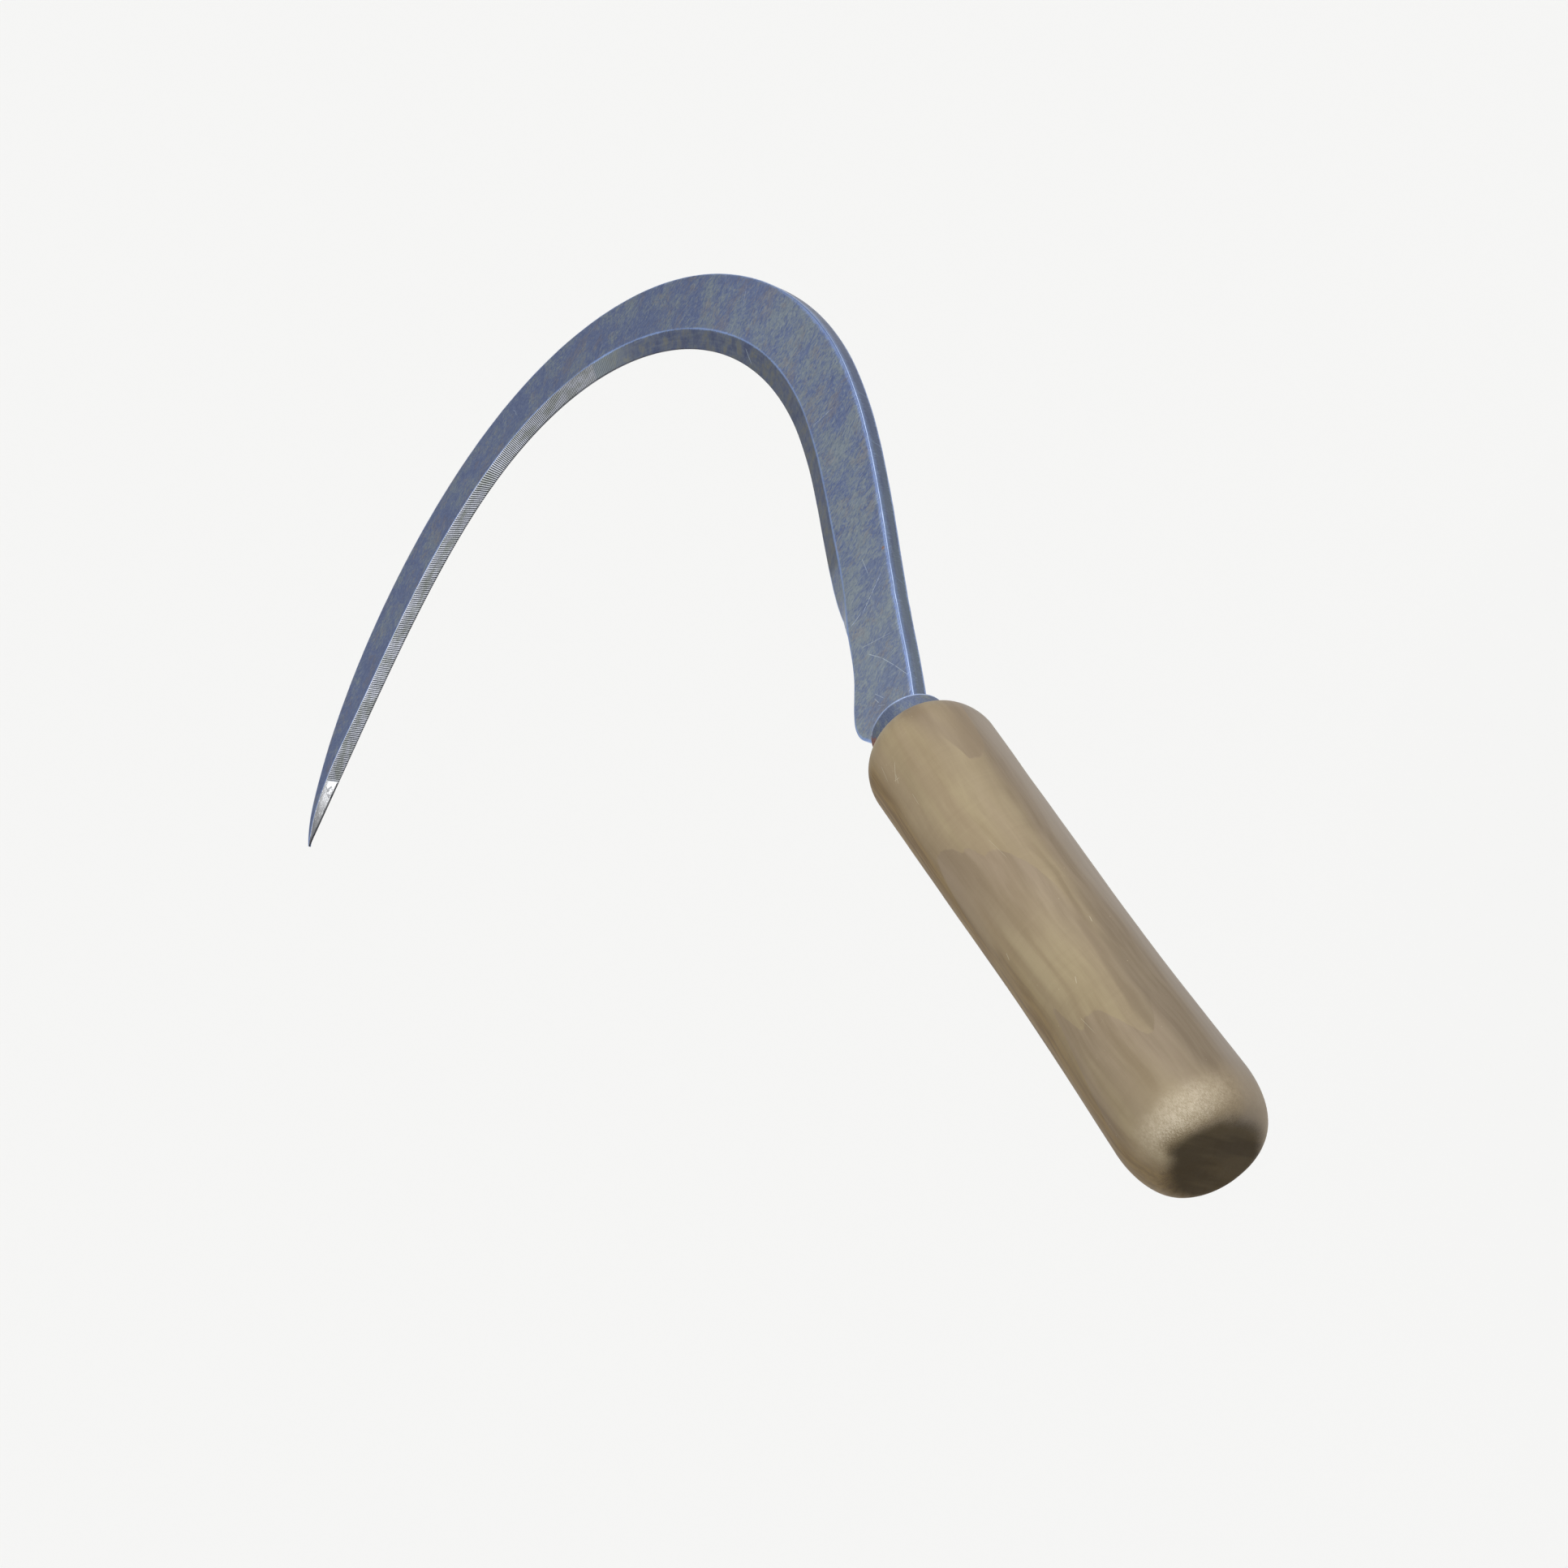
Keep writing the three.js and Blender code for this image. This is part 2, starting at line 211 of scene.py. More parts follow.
SER0, SER1 = nearest_along(SERRATION_FROM), nearest_along(SERRATION_TO)


def slant(s):
    """Tangent of the grooves' slant."""
    return np.tan(np.radians(np.interp(s, FILING[:, 0], FILING[:, 2], right=0)))


def look(s, table):
    if table.ndim == 1:
        return np.interp(s, ALONG, table)
    return np.stack([np.interp(s, ALONG, table[:, k]) for k in range(table.shape[1])], -1)


def build_blade():
    # places along the edge: fine where the grooves are, five to a groove
    fine = np.linspace(SER0, SER1 + SERRATION_FADE, 4001)
    count = np.r_[0, np.cumsum(np.diff(fine) / np.interp((fine[1:] + fine[:-1]) / 2, FILING[:, 0], FILING[:, 1]))]
    teeth = int(round(np.interp(SER1, fine, count)))
    count *= teeth / np.interp(SER1, fine, count)
    phases = np.array([0.0, 0.24, 0.43, 0.62, 0.81])
    depth_at = np.array([0.0, 0.0, 0.72, 1.0, 0.72])
    tip = np.linspace(0, 1, 72)[:-1] ** 1.15 * SER0
    total_teeth = int(count[-1])                 # with the shallow ones under the finish, past the bare part
    grooves = np.interp((np.arange(total_teeth)[:, None] + phases[None, :]).ravel(), count, fine)
    cut = np.tile(depth_at, total_teeth)
    end = np.interp(total_teeth, count, fine)
    rest = np.linspace(end, EDGE_LENGTH, int((EDGE_LENGTH - end) / 0.62))
    s = np.r_[tip, grooves, rest]
    cut = np.r_[np.zeros(len(tip)), cut, np.zeros(len(rest))]
    # the file was pressed unevenly, and bites less at both ends
    press = 0.86 + 0.14 * wobble(s, 9.0, 3)
    press *= smoothstep(s, SER0 - 0.2, SER0 + 2.0) * 0.35 + 0.65
    press *= 1 - smoothstep(s, SER1 - 30, SER1) * 0.45
    press *= 1 - smoothstep(s, SER1, end) * 0.97
    cut = cut * press
    n = len(s)

    tan = slant(s)
    wear_spine = 0.36 + 0.10 * wobble(s, 6.0, 5)            # rounding of the spine's corners
    rows, data = [], []

    def at(w_from_edge, z, d_spine, d_line, d_edge, groove, half_side, shift=0.0):
        """One row of points, w_from_edge in from the cutting edge."""
        bevel = look(s, BEVEL)
        across = np.minimum(w_from_edge, bevel)
        q = np.clip(s - across * tan, 0, EDGE_LENGTH)
        e, sp = look(q, EDGE), look(q, SPINE)
        a = sp - e
        width = np.linalg.norm(a, axis=1, keepdims=True)
        a = a / np.maximum(width, 1e-6)
        p = e + a * np.asarray(w_from_edge + shift).reshape(-1, 1)
        rows.append(np.c_[p, z])
        data.append((q, d_spine, d_line, d_edge, groove, half_side))

    # Sizes at each place. The width used for a row is the one at its own shifted place.
    bevel = look(s, BEVEL)
    q_flat = np.clip(s - bevel * tan, 0, EDGE_LENGTH)
    width_flat = np.linalg.norm(look(q_flat, SPINE) - look(q_flat, EDGE), axis=1)
    half = look(q_flat, THICK)
    bevel = np.minimum(bevel, width_flat * 0.72)
    half_e = look(s, THICK)
    ground = np.clip((bevel - CORNER_WIDTH) / 3.2, 0, 1)
    tipness = 1 - np.clip(half_e / HALF, 0, 1)
    depth = np.maximum(ground, (tipness > 0) * 1.0)
    land = np.minimum((half_e - CORNER_DROP) * (1 - depth) + EDGE_LAND / 2 * depth, half_e * 0.8)
    flat = width_flat - bevel
    k = np.minimum(1, flat / 7.0)
    kb = np.minimum(1, bevel / 1.6)
    r_s = np.minimum(wear_spine, half * 0.45) * np.clip(k * 1.4, 0.25, 1)
    r_e = 0.34 * (1 - ground) + 0.06 * ground
    r_e = np.minimum(r_e, land * 0.6)
    r_h = np.minimum(r_e, bevel * 0.42)
    slope = (half - land) / np.maximum(bevel, 1e-6)

    def bevel_z(w):                    # height of the bevel w in from the edge
        return land + slope * w

    sine = slope / np.sqrt(1 + slope ** 2)
    cosine = 1 / np.sqrt(1 + slope ** 2)

    for side in (1.0, -1.0):
        g = cut * GROOVE_DEPTH if side > 0 else cut * 0
        notch = cut * NOTCH_DEPTH if side > 0 else cut * NOTCH_DEPTH * 0.75
        level = []

        def put(w, z, ds, dl, de, gr=0.0, shift=0.0):
            level.append((w, z * side, ds, dl, de, gr * np.ones(n), shift))

        zero = np.zeros(n)
        if side > 0:
            put(width_flat, zero, -half, flat * 1.0, width_flat)
        put(width_flat, half * 0.5, -half * 0.5, flat, width_flat)
        put(width_flat, half - r_s, -r_s, flat, width_flat)
        put(width_flat - r_s * 0.11, half - r_s * 0.5, -r_s * 0.35, flat, width_flat)
        put(width_flat - r_s * 0.5, half - r_s * 0.11, r_s * 0.35, flat, width_flat)
        put(width_flat - r_s, half, r_s, flat - r_s, width_flat - r_s)
        for d in (0.95 * k, 2.3 * k):
            put(width_flat - d, half, d, flat - d, width_flat - d)
        put(bevel + flat * 0.5, half, flat * 0.5, flat * 0.5, bevel + flat * 0.5)
        for d in (1.6 * k, 0.28 * k):
            put(bevel + d, half, flat - d, d, bevel + d)
        put(bevel, half - 0.03 * kb, flat, zero, bevel)
        for w, share in ((bevel - 0.28 * kb, 1.0), (bevel * 2 / 3, 1.0), (bevel / 3, 1.0),
                         (0.42 * kb, 1.0), (r_h, 1.0)):
            put(w + g * sine * share, bevel_z(w) - g * cosine * share, flat + bevel - w, w - bevel, w, cut)
        put(zero, land - r_e * 0.8 - g * 0.4, flat + bevel, -bevel, zero, cut, notch)
        if side > 0:
            put(zero, zero, flat + bevel, -bevel, -land, cut, notch * 0.95)
        if side < 0:
            level.reverse()
        for w, z, ds, dl, de, gr, shift in level:
            at(w, z, ds, dl, de, gr, np.full(n, side), shift)

    grid = np.stack(rows, 1)                    # stations x rows x 3
    m = grid.shape[1]
    q, ds, dl, de, gr, sd = [np.stack([np.broadcast_to(d[c], n) for d in data], 1) for c in range(6)]

    # the root and the tang: the last section's shape, squared up and drawn down
    last = grid[-1]
    y_lo, y_hi = last[:, 1].min(), last[:, 1].max()
    fy = (last[:, 1] - y_lo) / (y_hi - y_lo)
    fz = last[:, 2] / HALF
    extra = [(TANG_ROOT_X, -6.3, 6.9, HALF), (TANG_ROOT_X - 0.35, -4.5, 4.5, 2.1)]
    for f in np.linspace(0, 1, 20)[1:]:
        k2 = 1 - (1 - TANG_TAPER) * f
        extra.append((TANG_ROOT_X - 0.35 - (TANG_LENGTH - 0.35) * f, -4.5 * k2, 4.5 * k2, 2.1 * k2))
    tang = []
    for x, y0, y1, h in extra:
        tang.append(np.c_[np.full(m, x), y0 + fy * (y1 - y0), fz * h])
    grid = np.concatenate([grid, np.stack(tang)], 0)
    extend = lambda table: np.concatenate([table, np.repeat(table[-1:], len(extra), 0)], 0)
    q, ds, dl, de, gr, sd = map(extend, (q, ds, dl, de, gr, sd))
    total = len(grid)

    run = np.interp(q[:, 0], ALONG, RUN)
    run[n:] = run[n - 1] + (grid[n - 1, 0, 0] - grid[n:, 0, 0])
    # a coordinate round the section, from the lower spine corner up and over
    step = np.linalg.norm(np.diff(np.concatenate([grid, grid[:, :1]], 1), axis=1), axis=2)
    around = np.concatenate([np.zeros((total, 1)), np.cumsum(step, 1)], 1)

    verts = grid.reshape(-1, 3)
    faces, uv = [], []
    # the map: the strip is cut into three lengths laid one above the other
    strips = 3
    length = run[-1] / strips
    height = around[:, -1].max() + 2.0
    scale = 1 / max(length + 3, strips * height + 1)

    def uv_of(i, j, strip):
        base = strip * length
        return ((run[i] - base + 1.2) * scale, (around[i, j] + 1.0 + strip * height) * scale)

    for i in range(total - 1):
        strip = min(int((run[i] + run[i + 1]) / 2 / length), strips - 1)
        for j in range(m):
            k2 = (j + 1) % m
            faces.append((i * m + j, i * m + k2, (i + 1) * m + k2, (i + 1) * m + j))
            uv += [uv_of(i, j, strip), uv_of(i, j + 1, strip), uv_of(i + 1, j + 1, strip), uv_of(i + 1, j, strip)]
    faces.append(tuple(range(m - 1, -1, -1)))
    uv += [uv_of(0, j, 0) for j in range(m - 1, -1, -1)]
    faces.append(tuple((total - 1) * m + j for j in range(m)))
    uv += [uv_of(total - 1, j, strips - 1) for j in range(m)]
    # the faces must point out
    a, b, c = (verts[[f[x] for f in faces]] for x in (0, 1, 2))
    volume = (a * np.cross(b, c)).sum() / 6
    if volume < 0:
        uv = np.asarray(uv)
        start, out = 0, []
        for f in faces:
            out.append(uv[start:start + len(f)][::-1])
            start += len(f)
        uv = np.concatenate(out)
        faces = [tuple(reversed(f)) for f in faces]

    station = np.repeat(np.r_[s, np.full(len(extra), s[-1] + 5)][:, None], m, 1)
    attributes = {
        "d_spine": ds.ravel(), "d_line": dl.ravel(), "d_edge": de.ravel(),
        "cut": gr.ravel(), "side": sd.ravel(), "station": station.ravel(),
        "strip": np.stack([q, around[:, :-1], sd], -1).reshape(-1, 3),
    }
    return new_piece("blade", verts, faces, uv, attributes)


blade = build_blade()

# ---------------------------------------------------------------- turned pieces

HANDLE_SEGMENTS = 144


def turned_mesh(name, rings, uv_at, close_start, close_end, attributes=None):
    """A mesh from rings, each N points round, with a pole at either end where asked."""
    n = rings.shape[1]
    verts = [rings.reshape(-1, 3)]
    count = rings.shape[0]
    faces, uv = [], []
    for i in range(count - 1 if close_start else count):
        a, b = i, (i + 1) % count
        for j in range(n):
            k = (j + 1) % n
            faces.append((a * n + j, a * n + k, b * n + k, b * n + j))
            uv += [uv_at(a, j, i), uv_at(a, j + 1, i), uv_at(i + 1, j + 1, i), uv_at(i + 1, j, i)]
    index = count * n
    for which, ring in ((close_start, 0), (close_end, count - 1)):
        if not which:
            continue
        verts.append(rings[ring].mean(0)[None])
        for j in range(n):
            k = (j + 1) % n
            f = (ring * n + k, ring * n + j, index) if ring == 0 else (ring * n + j, ring * n + k, index)
            faces.append(f)
            c = uv_at("pole", j, ring)
            if ring == 0:
                uv += [uv_at(ring, j + 1, "cap0"), uv_at(ring, j, "cap0"), c]
            else:
                uv += [uv_at(ring, j, "cap1"), uv_at(ring, j + 1, "cap1"), c]
        index += 1
    verts = np.concatenate(verts)
    a, b, c = (verts[[f[x] for f in faces]] for x in (0, 1, 2))
    if (a * np.cross(b, c)).sum() < 0:
        uv, start, out = np.asarray(uv), 0, []
        for f in faces:
            out.append(uv[start:start + len(f)][::-1])
            start += len(f)
        uv, faces = np.concatenate(out), [tuple(reversed(f)) for f in faces]
    return new_piece(name, verts, faces, uv, attributes)


def handle_profile():
    """The turned outline as [x, radius], from the butt's centre outwards."""
    out = [[0, r] for r in (1.5, 3, 4.5, 6, 7.5, 9, 9.9)] + [[0, 10.5]]
    for a in np.linspace(0, math.pi / 2, 22)[1:]:
        out.append([12.8 * (1 - math.cos(a)), 10.5 + 5.5 * math.sin(a)])
    grip = [[12.8, 16.0, 0], [12.8 + 122.5 / 3, 15.55, 0], [12.8 + 245 / 3, 16.2, 0], [135.3, 16.92, 0]]
    for q in catmull(grip, np.linspace(0, 1, 97)[1:]):
        out.append([q[0], q[1]])
    for a in np.linspace(0, math.pi / 2, 22)[1:]:
        out.append([135.3 + 9.9 * math.sin(a) ** 1.07, 10.15 + 6.77 * max(math.cos(a), 0) ** 1.07])
    return out


def build_handle():
    profile = handle_profile()
    shown = len(profile)
    profile += [[145.2, 8.8 + 0.2], [145.2, 8.8], [147.0, 8.8], [149.3, 8.8], [149.7, 8.4]]
    profile = np.array(profile)
    n = HANDLE_SEGMENTS
    angle = np.arange(n) / n * 2 * math.pi
    rings = []
    for x, r in profile:
        rings.append(np.c_[np.full(n, x), r * np.cos(angle), r * np.sin(angle)])
    rings = np.stack(rings)
    # A turned handle isn't quite true: it is faintly out of round, and hand wear has
    # softened it in places. Nothing is raised above the turned outline by more than a hair.
    for i in range(shown):
        x, r = profile[i]
        for j in range(n):
            p = Vector((x / 30, math.cos(angle[j]) * 0.9, math.sin(angle[j]) * 0.9))
            low = mnoise.fractal(p * 1.3 + Vector((3.1, 7.7, 1.2)), 1.0, 2.0, 2)
            fine = mnoise.fractal(Vector((x / 9, math.cos(angle[j]) * 5, math.sin(angle[j]) * 5)), 1.0, 2.0, 2)
            amount = min(1.0, r / 12) * (0.09 * low + 0.022 * fine - 0.03)
            if i < 8:
                rings[i, j, 0] += -amount * 0.0
            rings[i, j, 1:] *= 1 + amount / max(r, 3)
    # the end of the spigot, and the burnt-in hole for the tang
    root_x, end_x = TANG_ROOT_X + 2, TANG_ROOT_X - TANG_LENGTH - 0.3
    per = (1 - TANG_TAPER) / TANG_LENGTH
    hole = []
    for x in [149.7] + list(np.linspace(149.3, end_x, 24)):
        scale = 1 + per * (x - TANG_ROOT_X)
        hy = (TANG_WIDTH + 0.3 * 2 / TANG_TAPER) * scale / 2
        hz = (TANG_THICKNESS + 0.3 * 2 / TANG_TAPER) * scale / 2
        c, s_ = np.cos(angle), np.sin(angle)
        reach = 1 / np.maximum(np.abs(c) / hy, np.abs(s_) / hz)
        hole.append(np.c_[np.full(n, x), c * reach, s_ * reach])
    rings = np.concatenate([rings, np.stack(hole)], 0)

    # map: the shaft unrolled, the butt as a disc beside it, what is hidden in a corner
    steps = np.r_[0, np.cumsum(np.linalg.norm(np.diff(profile, axis=0), axis=1))]
    cut_ring = 16                                # the disc takes the flat and part of the rounding
    side = 139.0
    size = 1 / side

    def uv_at(i, j, face):
        if i == "pole":
            return ((120.5) * size, 18.0 * size) if face == 0 else (115 * size, 120 * size)
        if face == "cap0" or (isinstance(face, (int, np.integer)) and face < cut_ring):
            reach = (steps[i] + 1.5)
            return ((120.5 + math.cos(j / n * 2 * math.pi) * reach) * size,
                    (18.0 + math.sin(j / n * 2 * math.pi) * reach) * size)
        if face == "cap1" or face >= shown - 1:
            low = 60 + (min(i, len(rings) - 1) - shown + 1) * 1.2
            return ((104.5 + j / n * 30) * size, low * size)
        return ((1.0 + j / n * 101) * size, (1.0 + (steps[i] - steps[cut_ring]) / (steps[shown - 1] - steps[cut_ring]) * 137) * size)

    return turned_mesh("handle_wood", rings, uv_at, True, True)


def build_ferrule():
    x0, x1, R, r, c = 145.4, 151.9, 10.4, 8.9, 0.4
    profile = [[x0, r + 0.1], [x0, R - 0.22], [x0 + 0.06, R - 0.09], [x0 + 0.2, R], [x0 + 0.9, R]]
    profile += [[x, R] for x in np.linspace(x0 + 1.7, x1 - 1.3, 5)]
    profile += [[x1 - 0.62, R]]
    for a in np.linspace(0, math.pi / 2, 6):
        profile.append([x1 - 0.42 + 0.42 * math.sin(a), R - 0.42 + 0.42 * math.cos(a)])
    profile += [[x1, R - 0.8], [x1, r + 0.3], [x1 - 0.08, r + 0.08], [x1 - 0.3, r], [x1 - 3, r], [x0 + 0.1, r]]
    profile = np.array(profile)
    n = 120
    angle = np.arange(n) / n * 2 * math.pi
    rings = []
    for x, rad in profile:
        out = rad > r + 0.5
        ring = []
        for a in angle:
            d = 0.0
            if out:
                d = 0.035 * mnoise.fractal(Vector((math.cos(a) * 2.2, math.sin(a) * 2.2, x / 4)), 1.0, 2.0, 3) - 0.02
            ring.append((x, (rad + d) * math.cos(a), (rad + d) * math.sin(a)))
        rings.append(ring)
    rings = np.array(rings)
    steps = np.r_[0, np.cumsum(np.linalg.norm(np.diff(np.vstack([profile, profile[:1]]), axis=0), axis=1))]
    size = 1 / 67.5

    def uv_at(i, j, face):
        return ((0.8 + j / n * 65.5) * size, (0.8 + steps[i]) * size * 3.2)

    count = len(rings)

    verts = rings.reshape(-1, 3)
    faces, uv = [], []
    for i in range(count):
        b = (i + 1) % count
        for j in range(n):
            k = (j + 1) % n
            faces.append((i * n + j, i * n + k, b * n + k, b * n + j))
            uv += [uv_at(i, j, i), uv_at(i, j + 1, i), uv_at(i + 1, j + 1, i), uv_at(i + 1, j, i)]
    a, b, c = (verts[[f[x] for f in faces]] for x in (0, 1, 2))
    if (a * np.cross(b, c)).sum() < 0:
        uv = np.asarray(uv).reshape(-1, 4, 2)[:, ::-1].reshape(-1, 2)
        faces = [tuple(reversed(f)) for f in faces]
    return new_piece("ferrule_ring", verts, faces, uv)


handle = build_handle()
ferrule = build_ferrule()

# ------------------------------------------------------------- node-tree helpers


def srgb(r, g, b, gain=1.0):
    out = []
    for v in (r, g, b):
        v /= 255
        out.append(min((v / 12.92 if v <= 0.04045 else ((v + 0.055) / 1.055) ** 2.4) * gain, 1.0))
    return (*out, 1.0)


class Tree:
    """Short names for the nodes that the materials are built from."""

    def __init__(self, name):
        self.mat = bpy.data.materials.new(name)
        self.mat.use_nodes = True
        self.nt = self.mat.node_tree
        self.nt.nodes.clear()
        self.out = self.nt.nodes.new("ShaderNodeOutputMaterial")
        self.bsdf = self.nt.nodes.new("ShaderNodeBsdfPrincipled")
        self.nt.links.new(self.bsdf.outputs[0], self.out.inputs["Surface"])

    def put(self, socket, value):
        if isinstance(value, bpy.types.NodeSocket):
            self.nt.links.new(value, socket)
        elif value is not None:
            if hasattr(socket.default_value, "__len__") and not hasattr(value, "__len__"):
                value = [value] * len(socket.default_value)
            if hasattr(value, "__len__") and len(value) == 4 and len(socket.default_value) == 3:
                value = value[:3]
            socket.default_value = value

    def math(self, op, a, b=None, c=None, clamp=False):
        n = self.nt.nodes.new("ShaderNodeMath")
        n.operation, n.use_clamp = op, clamp
        for socket, v in zip(n.inputs, (a, b, c)):
            self.put(socket, v)
        return n.outputs[0]

    def add(self, a, b): return self.math("ADD", a, b)
    def sub(self, a, b): return self.math("SUBTRACT", a, b)
    def mul(self, a, b): return self.math("MULTIPLY", a, b)
    def lo(self, a, b): return self.math("MINIMUM", a, b)
    def hi(self, a, b): return self.math("MAXIMUM", a, b)
    def inv(self, a): return self.math("SUBTRACT", 1.0, a, clamp=True)

    def vec(self, op, a, b=None, scale=None):
        n = self.nt.nodes.new("ShaderNodeVectorMath")
        n.operation = op
        self.put(n.inputs[0], a)
        if b is not None:
            self.put(n.inputs[1], b)
        if scale is not None:
            self.put(n.inputs["Scale"], scale)
        return n.outputs["Value"] if op in ("LENGTH", "DOT_PRODUCT", "DISTANCE") else n.outputs[0]

    def xyz(self, x, y, z=0.0):
        n = self.nt.nodes.new("ShaderNodeCombineXYZ")
        for socket, v in zip(n.inputs, (x, y, z)):
            self.put(socket, v)
        return n.outputs[0]

    def parts(self, v):
        n = self.nt.nodes.new("ShaderNodeSeparateXYZ")
        self.put(n.inputs[0], v)
        return n.outputs[0], n.outputs[1], n.outputs[2]

    def step(self, x, a, b):
        """0 below a and 1 above b, smoothly between; a above b turns it over."""
        n = self.nt.nodes.new("ShaderNodeMapRange")
        n.interpolation_type = "SMOOTHSTEP"
        self.put(n.inputs["Value"], x)
        lo, hi, t0, t1 = (a, b, 0.0, 1.0) if a < b else (b, a, 1.0, 0.0)
        for key, v in (("From Min", lo), ("From Max", hi), ("To Min", t0), ("To Max", t1)):
            n.inputs[key].default_value = v
        return n.outputs["Result"]

    def remap(self, x, a, b, c, d):
        n = self.nt.nodes.new("ShaderNodeMapRange")
        self.put(n.inputs["Value"], x)
        for key, v in (("From Min", a), ("From Max", b), ("To Min", c), ("To Max", d)):
            n.inputs[key].default_value = v
        return n.outputs["Result"]

    def object(self):
        return self.nt.nodes.new("ShaderNodeTexCoord").outputs["Object"]

    def attr(self, name, vector=False):
        n = self.nt.nodes.new("ShaderNodeAttribute")
        n.attribute_type = "GEOMETRY"
        n.attribute_name = name
        return n.outputs["Vector"] if vector else n.outputs["Fac"]

    def mapped(self, v, scale=(1, 1, 1), turn=(0, 0, 0), move=(0, 0, 0)):
        n = self.nt.nodes.new("ShaderNodeMapping")
        n.vector_type = "POINT"
        self.put(n.inputs["Vector"], v)
        n.inputs["Scale"].default_value = scale
        n.inputs["Rotation"].default_value = turn
        n.inputs["Location"].default_value = move
        return n.outputs[0]

    def noise(self, v, scale=1.0, detail=4.0, rough=0.5, warp=0.0, dims="3D", colour=False):
        n = self.nt.nodes.new("ShaderNodeTexNoise")
        n.noise_dimensions = dims
        self.put(n.inputs["Vector"], v)
        self.put(n.inputs["Scale"], scale)
        n.inputs["Detail"].default_value = detail
        n.inputs["Roughness"].default_value = rough
        n.inputs["Distortion"].default_value = warp
        return n.outputs["Color"] if colour else n.outputs["Fac"]

    def voronoi(self, v, scale=1.0, feature="F1", dims="3D", randomness=1.0):
        n = self.nt.nodes.new("ShaderNodeTexVoronoi")
        n.voronoi_dimensions, n.feature = dims, feature
        self.put(n.inputs["Vector"], v)
        self.put(n.inputs["Scale"], scale)
        n.inputs["Randomness"].default_value = randomness
        return n.outputs["Distance"], n.outputs["Color"]

    def mix(self, fac, a, b, kind="MIX"):
        n = self.nt.nodes.new("ShaderNodeMix")
        n.data_type, n.blend_type = "RGBA", kind
        n.clamp_factor = True
        self.put(n.inputs[0], fac)
        self.put(n.inputs[6], a)
        self.put(n.inputs[7], b)
        return n.outputs[2]

    def blend(self, fac, a, b):
        n = self.nt.nodes.new("ShaderNodeMix")
        n.data_type = "FLOAT"
        n.clamp_factor = True
        self.put(n.inputs[0], fac)
        self.put(n.inputs[2], a)
        self.put(n.inputs[3], b)
        return n.outputs[0]

    def scaled(self, colour, by):
        return self.vec("SCALE", colour, scale=by)

    def bump(self, height, distance, strength=1.0, normal=None):
        n = self.nt.nodes.new("ShaderNodeBump")
        n.inputs["Strength"].default_value = strength
        n.inputs["Distance"].default_value = distance
        self.put(n.inputs["Height"], height)
        if normal is not None:
            self.put(n.inputs["Normal"], normal)
        return n.outputs[0]

    def curve(self, x, points, lo, hi, top):
        """A broken line through points, for x from lo to hi and values from 0 to top."""
        n = self.nt.nodes.new("ShaderNodeFloatCurve")
        c = n.mapping.curves[0]
        pts = [((a - lo) / (hi - lo), b / top) for a, b in points]
        c.points[0].location, c.points[1].location = pts[0], pts[-1]
        for q in pts[1:-1]:
            c.points.new(*q)
        for q in c.points:
            q.handle_type = "AUTO_CLAMPED"
        n.mapping.update()
        self.put(n.inputs["Value"], self.remap(x, lo, hi, 0.0, 1.0))
        return self.mul(n.outputs[0], top)

    def hairs(self, v2, degrees, length, gap, thin, share, move, bend=None):
        """Fine scratches: slim dashes in the plane of v2 (mm), lying at an angle. Returns 0 to 1."""
        v = self.mapped(v2, turn=(0, 0, math.radians(-degrees)), move=(move, move * 0.37, 0))
        if bend is not None:
            v = self.vec("ADD", v, bend)
        v = self.vec("MULTIPLY", v, (1 / length, 1 / gap, 0))
        d, c = self.voronoi(v, 1.0, dims="2D")
        pick, second, _ = self.parts(c)
        on = self.step(pick, 1 - share, 1 - share + 0.02)
        line = self.math("SUBTRACT", 1.0, self.math("DIVIDE", d, thin), clamp=True)
        line = self.math("POWER", line, 0.6)
        return self.mul(self.mul(line, on), self.remap(second, 0, 1, 0.35, 1.0))

    def segment(self, xy, a, b, width):
        """A single straight scratch from a to b, in mm, 0 to 1, tapering at both ends."""
        a, b = Vector((*a, 0)), Vector((*b, 0))
        d = b - a
        along = self.mul(self.vec("DOT_PRODUCT", self.vec("SUBTRACT", xy, tuple(a)), tuple(d)), 1 / d.length_squared)
        t = self.math("MAXIMUM", self.math("MINIMUM", along, 1.0), 0.0)
        near = self.vec("ADD", tuple(a), self.vec("SCALE", tuple(d), scale=t))
        away = self.vec("DISTANCE", xy, near)
        taper = self.mul(self.step(along, -0.02, 0.12), self.step(along, 1.02, 0.75))
        return self.mul(self.step(away, width, width * 0.35), taper)

    def arc(self, xy, centre, radius, a0, a1, width):
        """A curved scratch on a circle, from angle a0 to a1 in degrees."""
        d = self.vec("SUBTRACT", xy, (*centre, 0))
        x, y, _ = self.parts(d)
        away = self.math("ABSOLUTE", self.sub(self.vec("LENGTH", d), radius))
        turn = self.math("ARCTAN2", y, x)
        lo, hi = math.radians(a0), math.radians(a1)
        span = hi - lo
        inside = self.mul(self.step(turn, lo, lo + span * 0.2), self.step(turn, hi, hi - span * 0.2))
        return self.mul(self.step(away, width, width * 0.35), inside)


# ---------------------------------------------------------------- blade material

